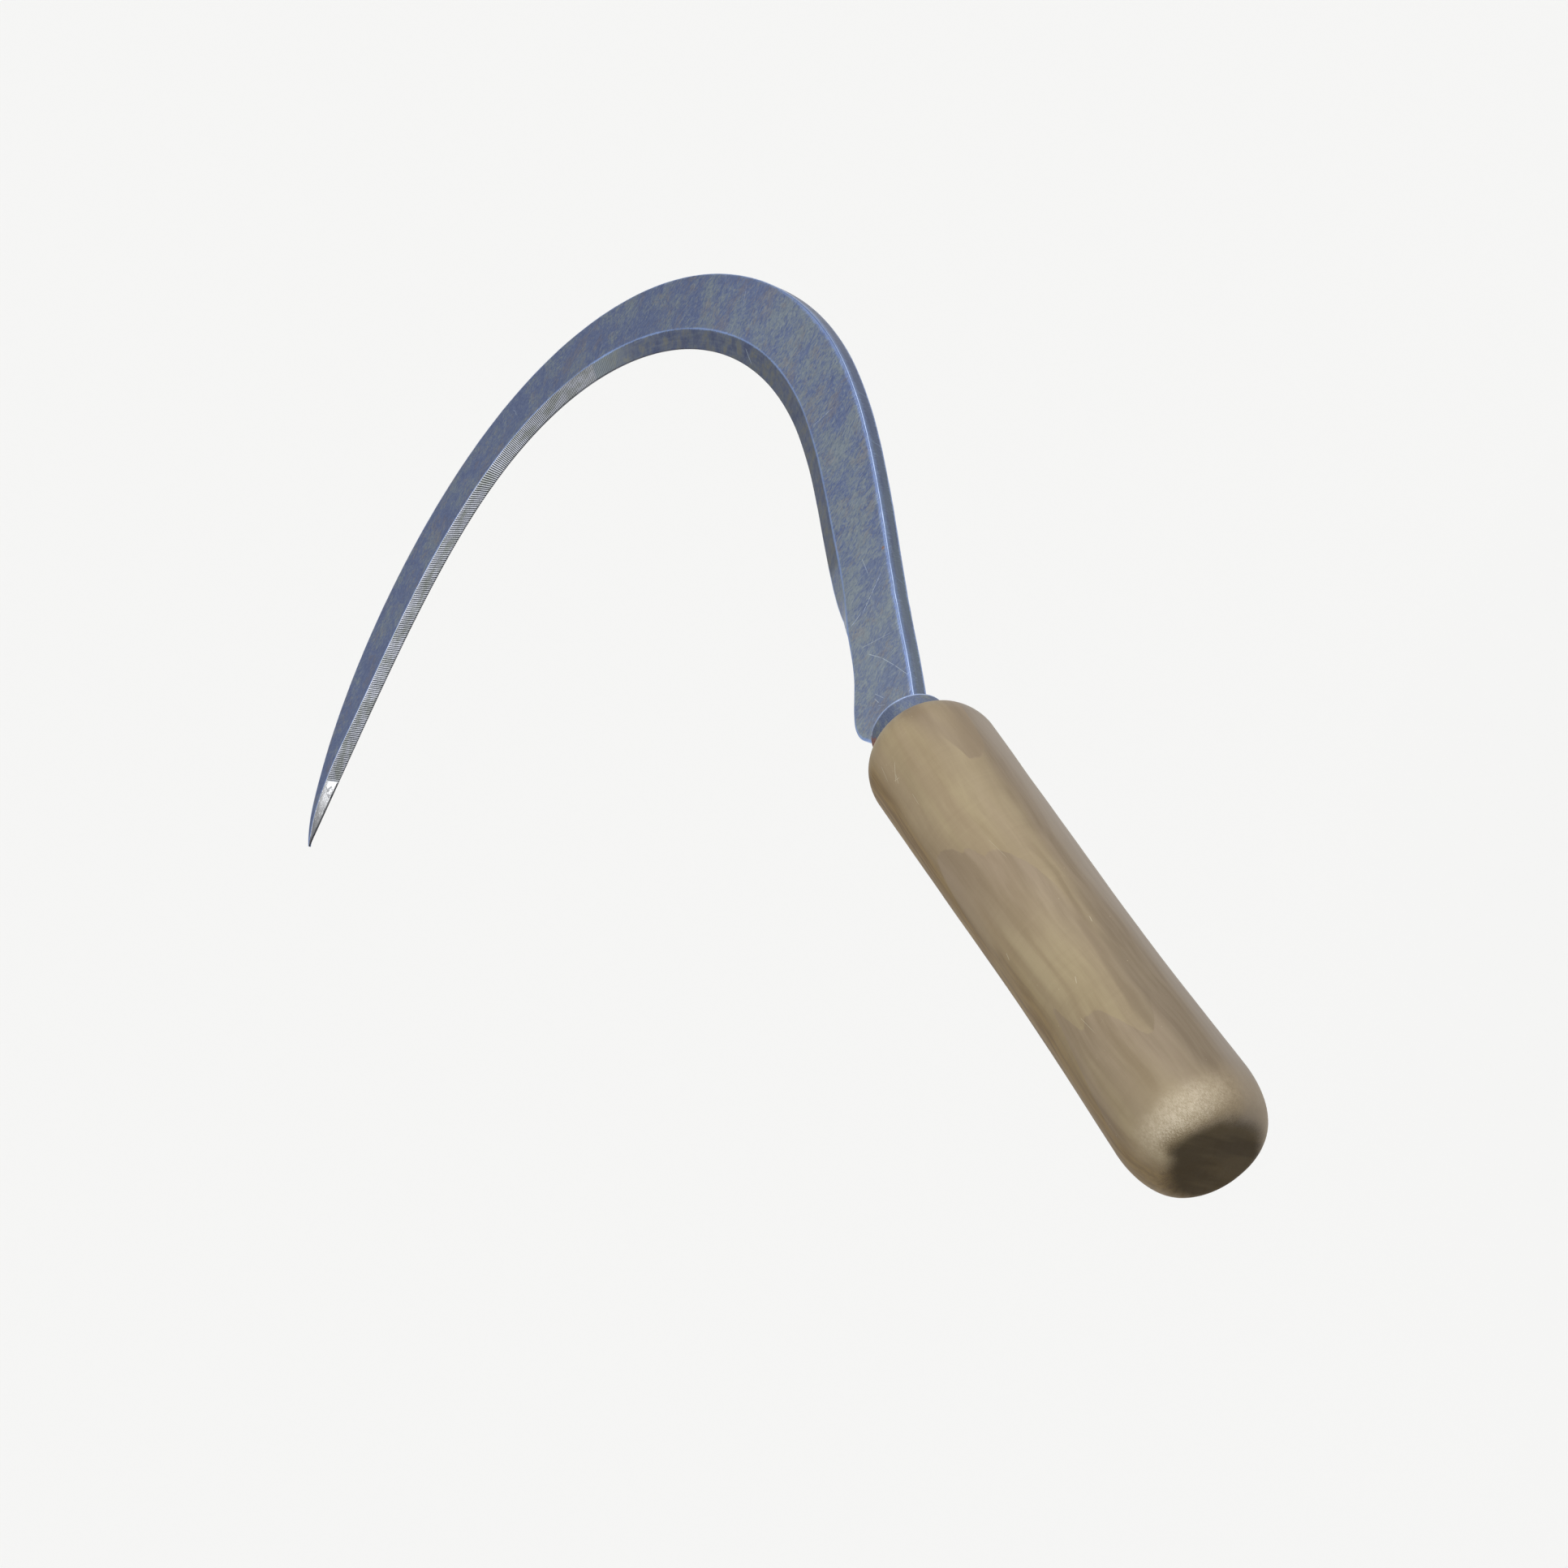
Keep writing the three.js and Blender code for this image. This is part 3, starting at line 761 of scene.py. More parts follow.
def blade_material():
    t = Tree("forged_steel")
    p = t.object()
    mm = t.vec("SCALE", p, scale=1000.0)                       # millimetres
    xy = t.vec("MULTIPLY", mm, (1, 1, 0))
    strip = t.vec("MULTIPLY", t.attr("strip", True), (1, 1, 0))
    d_spine, d_line, d_edge = t.attr("d_spine"), t.attr("d_line"), t.attr("d_edge")
    cut, side, station = t.attr("cut"), t.attr("side"), t.attr("station")
    x, y, z = t.parts(mm)

    up = t.step(side, -0.2, 0.2)
    on_bevel = t.step(d_line, 0.05, -0.07)
    ground = t.mul(on_bevel, t.step(station, EDGE_LENGTH - 66, EDGE_LENGTH - 70))
    serrated = t.mul(t.mul(ground, up), t.mul(t.step(station, SER0 - 0.15, SER0 + 0.1), t.step(station, SER1 + 0.5, SER1 - 1.0)))
    tip = t.mul(t.mul(ground, up), t.step(station, SER0 + 0.1, SER0 - 0.15))
    on_spine = t.step(d_spine, 0.02, -0.12)

    # blued forge finish: blue, olive and brown in short strokes across the blade
    wander = t.vec("SCALE", t.vec("SUBTRACT", t.noise(mm, 0.05, 2, 0.5, colour=True), (0.5, 0.5, 0.5)), scale=6.0)
    grain_v = t.vec("ADD", mm, wander)
    stroke = t.noise(t.mapped(grain_v, scale=(1.6, 0.42, 1.2), turn=(0, 0, math.radians(9))), 1.0, 6, 0.70)
    stroke2 = t.noise(t.mapped(grain_v, scale=(1.3, 0.38, 1.2), turn=(0, 0, math.radians(-20)), move=(31, 7, 0)), 1.0, 6, 0.68)
    fine = t.noise(t.mapped(grain_v, scale=(3.6, 0.95, 2.0), turn=(0, 0, math.radians(4)), move=(3, 17, 0)), 1.0, 4, 0.68)
    blotch = t.noise(t.mapped(grain_v, scale=(0.15, 0.10, 0.16), move=(11, 5, 2)), 1.0, 4, 0.6)
    blotch2 = t.noise(t.mapped(grain_v, scale=(0.17, 0.11, 0.2), move=(41, 25, 2)), 1.0, 3, 0.55)
    tone = t.add(t.mul(stroke, 0.6), t.mul(stroke2, 0.4))
    # more of the olive towards the handle, nearly all blue towards the point
    more_olive = t.add(t.mul(t.step(station, 265, 335), 0.078), t.mul(t.step(station, 60, 200), 0.018))
    olive_v = t.add(t.add(t.add(tone, t.mul(t.sub(blotch, 0.5), 0.80)), t.mul(t.sub(fine, 0.5), 1.0)), t.sub(more_olive, 0.066))
    olive_f = t.step(olive_v, 0.41, 0.63)
    brown_v = t.add(t.add(stroke2, t.mul(t.sub(blotch2, 0.5), 1.0)), t.mul(t.sub(fine, 0.5), 0.4))
    brown_f = t.step(brown_v, 0.53, 0.68)
    shade = t.step(t.add(t.mul(fine, 0.6), t.mul(stroke, 0.4)), 0.34, 0.66)
    blue = t.mix(shade, srgb(84, 96, 132, K), srgb(110, 123, 154, K))
    olive = t.mix(shade, srgb(102, 112, 120, K), srgb(134, 142, 140, K))
    brown = t.mix(shade, srgb(104, 103, 112, K), srgb(130, 126, 130, K))
    flat = t.mix(t.mul(olive_f, 0.80), blue, olive)
    flat = t.mix(t.mul(t.step(station, 400, 450), 0.22), flat, srgb(140, 148, 150, K))
    flat = t.mix(t.mul(brown_f, 0.5), flat, brown)
    flat = t.scaled(flat, t.curve(station, ((0, 0.92), (200, 0.90), (270, 0.93), (325, 1.10), (380, 1.05), (485, 1.04)), 0.0, 485.0, 2.0))

    # the ground bevel: the same finish, darker as painted shade, with marks drawn out along it
    drawn = t.noise(t.mapped(strip, scale=(0.12, 1.3, 1)), 1.0, 4, 0.6)
    patch = t.noise(t.mapped(mm, scale=(0.14, 0.14, 0.14), move=(7, 9, 1)), 1.0, 3, 0.55)
    slate = t.mix(t.step(t.add(t.mul(drawn, 0.6), t.mul(patch, 0.5)), 0.42, 0.66), srgb(76, 84, 106, K), srgb(98, 105, 118, K))
    slate = t.mix(t.mul(t.step(patch, 0.52, 0.64), 0.55), slate, srgb(98, 100, 96, K))
    # painted shade: a darker copy of the flat's finish
    slate = t.mix(0.38, slate, t.scaled(flat, 0.62))
    stain = t.noise(t.mapped(grain_v, scale=(0.26, 0.24, 0.3), move=(27, 3, 5)), 1.0, 5, 0.70)
    slate = t.mix(t.mul(t.step(stain, 0.48, 0.64), 0.55), slate, srgb(112, 111, 98, K))
    slate = t.mix(t.mul(t.step(stain, 0.50, 0.36), 0.42), slate, srgb(62, 68, 96, K))
    # past the bare part the file's marks go on under the finish, paler and dying away
    under = t.mul(t.mul(t.step(station, SER1 - 1.5, SER1 + 0.5), t.step(station, SER1 + 27, SER1 + 4)), up)
    slate = t.mix(t.mul(under, 0.62), slate, srgb(122, 128, 124, K))
    # painted shade: darker in the grooves
    slate = t.mix(t.mul(t.step(cut, 0.02, 0.30), 0.62), slate, srgb(56, 62, 74, K))
    colour = t.mix(ground, flat, slate)

    # the spine: dark slate, plainer than the faces
    sp_n = t.noise(t.mapped(strip, scale=(0.09, 0.8, 1), move=(5, 1, 0)), 1.0, 4, 0.62)
    # painted shade: the spine's colours are set darker because it faces the lit floor
    spine_c = t.mix(t.step(sp_n, 0.38, 0.62), srgb(80, 88, 118, SPINE_SHADE_K), srgb(93, 102, 122, SPINE_SHADE_K))
    spine_c = t.mix(t.mul(shade, 0.25), spine_c, srgb(110, 120, 136, SPINE_SHADE_K))
    spine_c = t.scaled(spine_c, t.add(t.remap(station, 345, 425, 0.70, 1.0), t.mul(t.step(station, 425, 470), 0.14)))
    spine_c = t.vec("MULTIPLY", spine_c, t.mix(t.step(station, 345, 430), (0.86, 0.95, 1.10, 1.0), (1.0, 1.0, 0.90, 1.0)))
    sp_olive = t.mul(t.step(t.noise(t.mapped(strip, scale=(0.055, 0.45, 1), move=(15, 4, 0)), 1.0, 4, 0.6), 0.46, 0.60), t.step(station, 385, 420))
    spine_c = t.mix(t.mul(sp_olive, 0.55), spine_c, srgb(90, 102, 100, SPINE_SHADE_K * 1.05))
    colour = t.mix(on_spine, colour, spine_c)

    # fine scratches: hairs lying mostly across the blade, and hairs across its edges
    bend = t.vec("SCALE", t.vec("SUBTRACT", t.noise(mm, 0.09, 1, 0.5, colour=True), (0.5, 0.5, 0.5)), scale=3.2)
    h1 = t.hairs(xy, 84, 34, 0.42, 0.10, 0.30, 3.0, bend)
    h2 = t.hairs(xy, 66, 40, 0.55, 0.09, 0.26, 91.0, bend)
    h3 = t.hairs(xy, 108, 30, 0.60, 0.09, 0.22, 47.0, bend)
    h4 = t.hairs(xy, 20, 46, 1.30, 0.05, 0.16, 23.0, bend)
    hair = t.lo(t.add(t.add(h1, h2), t.add(h3, t.mul(h4, 1.3))), 1.0)
    patchy = t.step(t.noise(t.mapped(mm, scale=(0.06, 0.06, 0.06), move=(1, 4, 0)), 1.0, 3, 0.55), 0.36, 0.68)
    hair = t.mul(hair, t.remap(patchy, 0, 1, 0.25, 1.0))
    eh = t.lo(t.add(t.hairs(strip, 78, 5.0, 0.34, 0.24, 0.55, 5.0), t.add(t.hairs(strip, 102, 5.5, 0.38, 0.22, 0.5, 57.0),
                    t.hairs(strip, 55, 7.0, 0.8, 0.12, 0.4, 83.0))), 1.0)
    colour = t.mix(t.mul(hair, t.mul(0.34, t.inv(serrated))), colour, srgb(158, 172, 186, K))

    # a few long single scratches near the heel and the bend
    marks = None
    for a, b, w in (((178.9, -4.1), (173.1, -6.7), 0.13), ((173.3, -6.6), (167.0, -8.4), 0.13), ((167.4, -8.3), (160.6, -9.8), 0.11),
                    ((182.9, -3.3), (175.4, -13.8), 0.07), ((191.5, -4.7), (191.0, -9.6), 0.08),
                    ((203.5, -19.1), (196.6, -17.6), 0.08), ((193.2, -21.6), (190.0, -8.4), 0.07),
                    ((167.8, 1.1), (163.6, -0.4), 0.10), ((166.9, 2.0), (164.3, 1.6), 0.10), ((164.0, 2.2), (161.8, 0.4), 0.08),
                    ((424.6, 53.6), (422.6, 53.0), 0.10), ((422.8, 53.0), (420.4, 53.5), 0.10),
                    ((252.0, -40.5), (256.5, -31.0), 0.06), ((327.0, -44.0), (322.0, -38.0), 0.06)):
        m = t.segment(xy, a, b, w)
        marks = m if marks is None else t.hi(marks, m)
    marks = t.mul(marks, t.inv(on_bevel))
    marks = t.hi(marks, t.mul(t.segment(xy, (310.1, -30.2), (303.6, -27.8), 0.09), on_bevel))
    # and hairs right across the spine
    q_z = t.xyz(t.parts(strip)[0], z, 0.0)
    for where, lean in SPINE_HAIRS:
        marks = t.hi(marks, t.mul(t.segment(q_z, (where - lean, 2.3), (where + lean, -2.0), 0.10), on_spine))
    mark_k = t.blend(on_spine, 0.52, 0.45)
    colour = t.mix(t.mul(marks, mark_k), colour, t.mix(on_spine, srgb(190, 202, 216, K), srgb(120, 140, 160, K)))
    speck = t.step(t.vec("DISTANCE", xy, (198.1, -25.8, 0.0)), 0.65, 0.3)
    colour = t.mix(t.mul(speck, t.mul(up, 0.8)), colour, srgb(160, 108, 70, 1.2))

    # worn edges: bright where the finish has rubbed off, with a ragged border
    rag = t.noise(t.mapped(strip, scale=(0.9, 1.6, 1), move=(2, 2, 0)), 1.0, 5, 0.65)
    slow = t.noise(t.mapped(strip, scale=(0.045, 0.0, 1), move=(9, 2, 0)), 1.0, 3, 0.55)
    right = t.step(station, RIGHT_FROM, RIGHT_FROM + 40)
    near_heel = t.step(station, EDGE_LENGTH - 150, EDGE_LENGTH - 95)
    reach = t.add(t.remap(slow, 0.3, 0.7, 0.26, 0.55), t.mul(near_heel, 0.22))
    away = t.math("ABSOLUTE", d_spine)
    # the far corner of the spine is only lightly worn
    wide = t.add(reach, t.mul(right, t.blend(near_heel, 0.60, 0.36)))
    worn_s = t.math("DIVIDE", t.sub(t.add(away, t.mul(t.sub(rag, 0.5), t.blend(right, 1.5, 2.3))), 0.02), t.mul(wide, t.blend(up, 0.5, 1.0)))
    glow_s = t.step(worn_s, 1.7, 0.3)
    core_s = t.mul(t.step(t.math("DIVIDE", t.add(away, t.mul(t.sub(rag, 0.5), 0.5)), reach), 0.50, 0.12), t.remap(slow, 0.36, 0.62, 0.15, 1.0))
    core_s = t.mul(core_s, t.blend(t.mul(right, t.inv(near_heel)), 1.0, 0.45))
    hairy = t.mul(t.mul(eh, t.step(t.math("DIVIDE", away, wide), 3.2, 0.5)), t.add(t.blend(right, 0.45, 0.62), t.mul(near_heel, 0.38)))
    line_reach = t.add(t.remap(slow, 0.3, 0.7, 0.16, 0.36), t.mul(near_heel, 0.12))
    away_l = t.math("ABSOLUTE", t.add(d_line, -0.08))
    worn_l = t.math("DIVIDE", t.add(away_l, t.mul(t.sub(rag, 0.5), 1.0)), line_reach)
    glow_l = t.mul(t.step(worn_l, 1.7, 0.1), t.remap(t.add(t.mul(slow, 0.6), t.mul(rag, 0.4)), 0.36, 0.60, 0.40, 0.85))
    hairy_l = t.mul(t.mul(eh, t.step(away_l, 1.3, 0.1)), t.remap(slow, 0.35, 0.65, 0.15, 0.55))
    # painted shade: the corner along the right arm faces the light, so its colour is set darker there
    blue_edge = srgb(132, 156, 202, K)
    blue_spine = t.mix(right, srgb(128, 148, 186, K), t.mix(t.step(d_spine, 0.22, 0.52), (0.165, 0.225, 0.385, 1.0), srgb(132, 154, 204, K)))
    white_edge = srgb(206, 218, 238, K)
    white_spine = t.mix(right, srgb(206, 218, 238, 1.2), t.mix(t.step(d_spine, 0.22, 0.52), (0.275, 0.340, 0.500, 1.0), srgb(196, 210, 236, 1.3)))
    colour = t.mix(t.mul(glow_s, 0.85), colour, blue_spine)
    far = t.mul(t.step(t.add(away, t.mul(t.sub(rag, 0.5), 0.6)), 0.80, 0.30), t.mul(t.inv(up), t.step(station, 335, 365)))
    colour = t.mix(t.mul(far, t.remap(slow, 0.35, 0.65, 0.45, 0.9)), colour, srgb(146, 166, 206, 1.15))
    colour = t.mix(t.mul(t.mul(hairy_l, t.inv(t.lo(t.add(serrated, tip), 1.0))), 0.8), colour, blue_edge)
    colour = t.mix(t.mul(glow_l, t.inv(t.mul(tip, 0.6))), colour, blue_edge)
    # painted shade here too: the right arm's corner takes the darker colour
    colour = t.mix(t.mul(hairy, 0.7), colour, t.mix(right, white_edge, t.mix(t.step(d_spine, 0.22, 0.52), (0.30, 0.37, 0.52, 1.0), srgb(178, 194, 226, K))))
    colour = t.mix(t.mul(core_s, t.blend(right, 0.9, 0.75)), colour, white_spine)
    # the heel's outline is rubbed bright as well
    heel_rim = t.mul(t.step(t.add(d_edge, t.mul(t.sub(rag, 0.5), 0.8)), 0.55, 0.1), t.step(station, EDGE_LENGTH - 74, EDGE_LENGTH - 66))
    colour = t.mix(t.mul(heel_rim, 0.75), colour, srgb(150, 172, 214, K))

    # the filed part of the bevel is bare steel, bright on the ridges, with painted shade dark in the cuts
    bare_n = t.noise(t.mapped(mm, scale=(0.5, 0.5, 0.5), move=(4, 4, 4)), 1.0, 4, 0.6)
    dull = t.step(t.noise(t.mapped(strip, scale=(0.11, 0.3, 1), move=(3, 8, 0)), 1.0, 3, 0.5), 0.40, 0.66)
    ridge = t.mix(dull, (0.51, 0.53, 0.59, 1.0), (0.37, 0.39, 0.39, 1.0))
    cut_shade = t.mix(dull, (0.045, 0.052, 0.068, 1.0), (0.045, 0.052, 0.050, 1.0))
    deep = t.step(cut, 0.12, 0.80)
    filed = t.mix(deep, ridge, cut_shade)
    filed = t.mix(t.mul(t.step(bare_n, 0.52, 0.70), 0.30), filed, (0.17, 0.18, 0.17, 1.0))
    fading = t.step(station, SER1 - 80, SER1 - 6)                   # less filed, and duller, towards its end
    filed = t.mix(t.mul(fading, 0.90), filed, t.scaled(filed, 0.50))
    colour = t.mix(serrated, colour, filed)
    # painted shadow: grooves end in dark nicks on the cutting edge
    nick_shadow = t.mul(t.mul(serrated, t.step(d_edge, 0.5, 0.1)), deep)
    colour = t.mix(t.mul(nick_shadow, 0.9), colour, (0.018, 0.022, 0.034, 1.0))

    # the point's bevel is polished bright and pitted
    pit_n = t.noise(t.mapped(mm, scale=(0.62, 0.42, 0.62), turn=(0, 0, 0.4), move=(6, 1, 0)), 1.0, 5, 0.66, 0.6)
    pit_zone = t.mul(t.step(station, 5, 12), t.step(station, SER0 + 1, SER0 - 3))
    pits = t.mul(t.mul(t.step(pit_n, 0.56, 0.61), pit_zone), t.step(t.noise(t.mapped(mm, scale=(0.3, 0.3, 0.3), move=(2, 6, 1)), 1.0, 2, 0.5), 0.40, 0.56))
    cloudy = t.noise(t.mapped(mm, scale=(0.35, 0.25, 0.35), move=(16, 1, 0)), 1.0, 3, 0.55)
    bright = t.mix(t.step(t.add(station, t.mul(t.sub(cloudy, 0.5), 9.0)), 2.5, SER0 * 0.82), (0.060, 0.062, 0.070, 1.0), (0.86, 0.87, 0.89, 1.0))
    bright = t.mix(t.mul(pits, 0.72), bright, (0.14, 0.145, 0.155, 1.0))
    bright = t.mix(t.mul(t.mul(t.step(d_line, -0.85, -0.20), 0.85), t.step(station, 3, 8)), bright, (0.86, 0.87, 0.90, 1.0))
    colour = t.mix(tip, colour, bright)
    # dark line along the cutting edge of the point, and a thin dark edge elsewhere
    dark_edge = t.mul(t.step(d_edge, 0.62, 0.36), t.mul(t.step(station, SER0 + 0.2, SER0 - 0.4), t.step(station, 0.5, 3)))
    colour = t.mix(t.mul(dark_edge, 0.92), colour, (0.030, 0.031, 0.036, 1.0))
    rim = t.mul(t.mul(t.step(d_edge, 0.22, 0.0), t.inv(t.step(station, SER0 + 0.5, SER0))), t.step(station, EDGE_LENGTH - 66, EDGE_LENGTH - 74))
    colour = t.mix(t.mul(rim, t.mul(0.6, t.inv(serrated))), colour, srgb(60, 54, 64, K))

    t.put(t.bsdf.inputs["Base Color"], colour)
    t.bsdf.inputs["Metallic"].default_value = METAL
    t.bsdf.inputs["Specular IOR Level"].default_value = 0.5

    rough = t.add(0.40, t.mul(t.sub(stroke, 0.5), 0.28))
    rough = t.add(rough, t.mul(t.sub(blotch, 0.5), 0.20))
    rough = t.blend(ground, rough, 0.46)
    worn = t.lo(t.add(core_s, t.mul(glow_s, 0.4)), 1.0)
    rough = t.blend(t.mul(worn, 0.6), rough, 0.38)
    rough = t.blend(serrated, rough, t.blend(deep, 0.33, 0.5))
    rough = t.blend(tip, rough, t.add(0.16, t.mul(pits, 0.3)))
    t.put(t.bsdf.inputs["Roughness"], t.math("MULTIPLY", rough, 1.0, clamp=True))

    height = t.add(t.mul(t.sub(stroke, 0.5), 0.0045), t.mul(t.sub(fine, 0.5), 0.0035))
    height = t.mul(height, t.inv(t.mul(ground, 0.6)))
    height = t.sub(height, t.mul(hair, 0.006))
    height = t.sub(height, t.mul(marks, 0.020))
    height = t.sub(height, t.mul(hairy, 0.012))
    height = t.sub(height, t.mul(t.mul(pits, tip), 0.03))
    t.put(t.bsdf.inputs["Normal"], t.bump(height, 0.001, 1.0))
    return t.mat


# -------------------------------------------------------------- ferrule material

def ferrule_material():
    t = Tree("ferrule_steel")
    mm = t.vec("SCALE", t.object(), scale=1000.0)
    x, y, z = t.parts(mm)
    r = t.math("SQRT", t.add(t.mul(y, y), t.mul(z, z)))
    turn = t.math("ARCTAN2", z, y)
    around = t.xyz(x, t.mul(turn, 10.0), 0.0)
    stroke = t.noise(t.mapped(mm, scale=(0.5, 1.1, 1.1)), 1.0, 5, 0.62)
    fine = t.noise(t.mapped(mm, scale=(1.6, 3.2, 3.2), move=(2, 5, 1)), 1.0, 3, 0.6)
    blotch = t.noise(t.mapped(mm, scale=(0.22, 0.22, 0.22), move=(9, 5, 2)), 1.0, 4, 0.55)
    blue = t.mix(t.step(fine, 0.25, 0.78), srgb(80, 91, 119, FERRULE_K), srgb(102, 113, 136, FERRULE_K))
    olive = t.mix(t.step(fine, 0.25, 0.78), srgb(98, 108, 118, FERRULE_K), srgb(128, 134, 138, FERRULE_K))
    colour = t.mix(t.step(t.add(t.mul(stroke, 0.6), t.mul(blotch, 0.6)), 0.54, 0.76), blue, olive)
    # painted warm reflection: a rusty red-brown patch on one side of the ring, made dull and rough like rusty steel
    lean = t.vec("DOT_PRODUCT", t.vec("MULTIPLY", mm, (0.0, 0.1, 0.1)), (0.0, 0.80, 0.60))
    warm_reflection_n = t.noise(t.mapped(mm, scale=(0.45, 0.45, 0.45), move=(5, 3, 1)), 1.0, 5, 0.6)
    warm_reflection_patch = t.step(t.add(lean, t.mul(t.sub(warm_reflection_n, 0.5), 0.9)), 0.86, 1.02)
    # bright worn rims and a scuffed outside
    rag = t.noise(t.mapped(around, scale=(1.4, 0.8, 1), move=(2, 2, 0)), 1.0, 5, 0.65)
    front = t.math("ABSOLUTE", t.sub(x, 151.62))
    edge = t.mul(t.step(t.add(front, t.mul(t.sub(rag, 0.5), 0.7)), 0.62, 0.10), t.step(r, 9.6, 10.0))
    back = t.mul(t.step(t.add(t.sub(x, 145.4), t.mul(t.sub(rag, 0.5), 0.6)), 0.42, 0.05), t.step(r, 9.7, 10.1))
    scuff = t.lo(t.add(t.hairs(around, 72, 10, 0.5, 0.16, 0.4, 5.0), t.hairs(around, 98, 12, 0.6, 0.14, 0.35, 33.0)), 1.0)
    colour = t.mix(t.mul(scuff, 0.4), colour, srgb(160, 176, 204, FERRULE_K))
    colour = t.mix(t.mul(edge, 0.8), colour, srgb(166, 184, 220, FERRULE_K * 1.2))
    colour = t.mix(t.mul(back, 0.5), colour, srgb(136, 154, 192, FERRULE_K))
    # painted warm reflection, in rusty red-browns
    colour = t.mix(t.mul(warm_reflection_patch, 0.9), colour, t.mix(t.step(fine, 0.3, 0.7), srgb(104, 62, 46, 0.9), srgb(150, 98, 78, 0.9)))
    inside = t.step(r, 9.3, 9.0)
    colour = t.mix(t.mul(inside, 0.8), colour, srgb(48, 44, 44))
    t.put(t.bsdf.inputs["Base Color"], colour)
    t.put(t.bsdf.inputs["Metallic"], t.blend(warm_reflection_patch, 0.62, 0.25))
    rough = t.add(0.54, t.mul(t.sub(stroke, 0.5), 0.3))
    rough = t.blend(t.mul(edge, 0.7), rough, 0.36)
    t.put(t.bsdf.inputs["Roughness"], t.blend(warm_reflection_patch, rough, 0.75))
    height = t.add(t.mul(t.sub(stroke, 0.5), 0.02), t.mul(t.sub(fine, 0.5), 0.008))
    height = t.add(height, t.mul(warm_reflection_patch, t.mul(fine, 0.04)))
    height = t.sub(height, t.mul(scuff, 0.01))
    t.put(t.bsdf.inputs["Normal"], t.bump(height, 0.001, 1.0))
    return t.mat


# ----------------------------------------------------------------- wood material

def wood_material():
    t = Tree("turned_wood")
    mm = t.vec("SCALE", t.object(), scale=1000.0)
    x, y, z = t.parts(mm)
    r = t.math("SQRT", t.add(t.mul(y, y), t.mul(z, z)))

    # the angle round the handle, counted from the side with the figure in it, so that
    # the seam is out of the way underneath
    m0 = math.radians(115)
    fy = t.add(t.mul(y, math.cos(m0)), t.mul(z, math.sin(m0)))
    fx = t.sub(t.mul(z, math.cos(m0)), t.mul(y, math.sin(m0)))
    phi = t.add(t.mul(t.math("ARCTAN2", fx, fy), 180 / math.pi), 115.0)

    # everything runs along the handle, wandering a little
    sway = t.vec("SUBTRACT", t.noise(t.mapped(mm, scale=(0.030, 0.05, 0.05), move=(4, 8, 2)), 1.0, 2, 0.5, colour=True), (0.5, 0.5, 0.5))
    sv = t.vec("ADD", mm, t.vec("MULTIPLY", sway, (6.0, 5.0, 5.0)))
    band = t.noise(t.mapped(sv, scale=(0.014, 0.13, 0.13), move=(2, 6, 1)), 1.0, 3, 0.5)
    streak = t.noise(t.mapped(sv, scale=(0.026, 0.30, 0.30), move=(5, 2, 9)), 1.0, 3, 0.50)
    strand = t.noise(t.mapped(sv, scale=(0.045, 0.85, 0.85), move=(15, 2, 4)), 1.0, 3, 0.55)
    fibre = t.noise(t.mapped(mm, scale=(0.16, 3.4, 3.4), move=(7, 3, 3)), 1.0, 4, 0.6)
    cloud = t.noise(t.mapped(mm, scale=(0.045, 0.075, 0.075), move=(12, 3, 3)), 1.0, 3, 0.5)
    warm = t.noise(t.mapped(sv, scale=(0.02, 0.10, 0.10), move=(21, 13, 3)), 1.0, 3, 0.5)
    figure = t.noise(t.mapped(sv, scale=(0.75, 0.055, 0.055), turn=(0, 0, 0.12), move=(1, 3, 8)), 1.0, 4, 0.6)

    light = t.mix(t.step(cloud, 0.36, 0.64), srgb(157, 142, 114, W), srgb(171, 157, 127, W))
    base = t.mix(t.step(streak, 0.30, 0.68), srgb(155, 139, 111, W), light)
    base = t.mix(t.mul(t.step(band, 0.50, 0.66), 0.50), base, srgb(160, 143, 119, W))
    base = t.mix(t.mul(t.step(strand, 0.55, 0.72), 0.12), base, srgb(184, 170, 142, W))
    base = t.mix(t.mul(t.step(strand, 0.46, 0.30), 0.10), base, srgb(134, 116, 90, W))
    base = t.mix(t.mul(t.step(figure, 0.50, 0.68), 0.06), base, srgb(190, 176, 146, W))
    base = t.mix(t.mul(t.step(figure, 0.48, 0.34), 0.06), base, srgb(128, 110, 84, W))
    # painted warm light: browner down one side, where a warm light fell, with darker lines in it
    warm_light_side = t.step(t.add(phi, t.mul(t.sub(warm, 0.5), 40.0)), 82.0, 46.0)
    brown = t.mix(t.step(strand, 0.34, 0.62), srgb(110, 82, 36, W), srgb(138, 111, 58, W))
    base = t.mix(t.mul(warm_light_side, 0.88), base, brown)
    # painted sheen: a greyer band down this side, darker than the rest, stands for the grey sheen there
    sheen_side = t.step(t.add(phi, t.sub(t.mul(t.sub(warm, 0.5), 40.0), t.mul(t.step(x, 78.0, 40.0), -10.0))), 140.0, 168.0)
    grey = t.mix(t.step(strand, 0.30, 0.68), srgb(119, 104, 86, W), srgb(132, 118, 101, W))
    base = t.mix(t.mul(sheen_side, 0.85), base, grey)
    # painted sheen: paler and greyer again where it turns away
    turning_sheen = t.step(t.add(phi, t.mul(t.sub(warm, 0.5), 24.0)), 164.0, 182.0)
    base = t.mix(t.mul(turning_sheen, 0.55), base, srgb(154, 145, 138, W))
    # one long dark streak beside it
    lane = t.math("ABSOLUTE", t.sub(t.add(phi, t.mul(t.sub(warm, 0.5), 60.0)), 141.0))
    base = t.mix(t.mul(t.mul(t.step(lane, 6.5, 1.5), t.step(x, 92.0, 70.0)), 0.45), base, srgb(118, 100, 76, W))

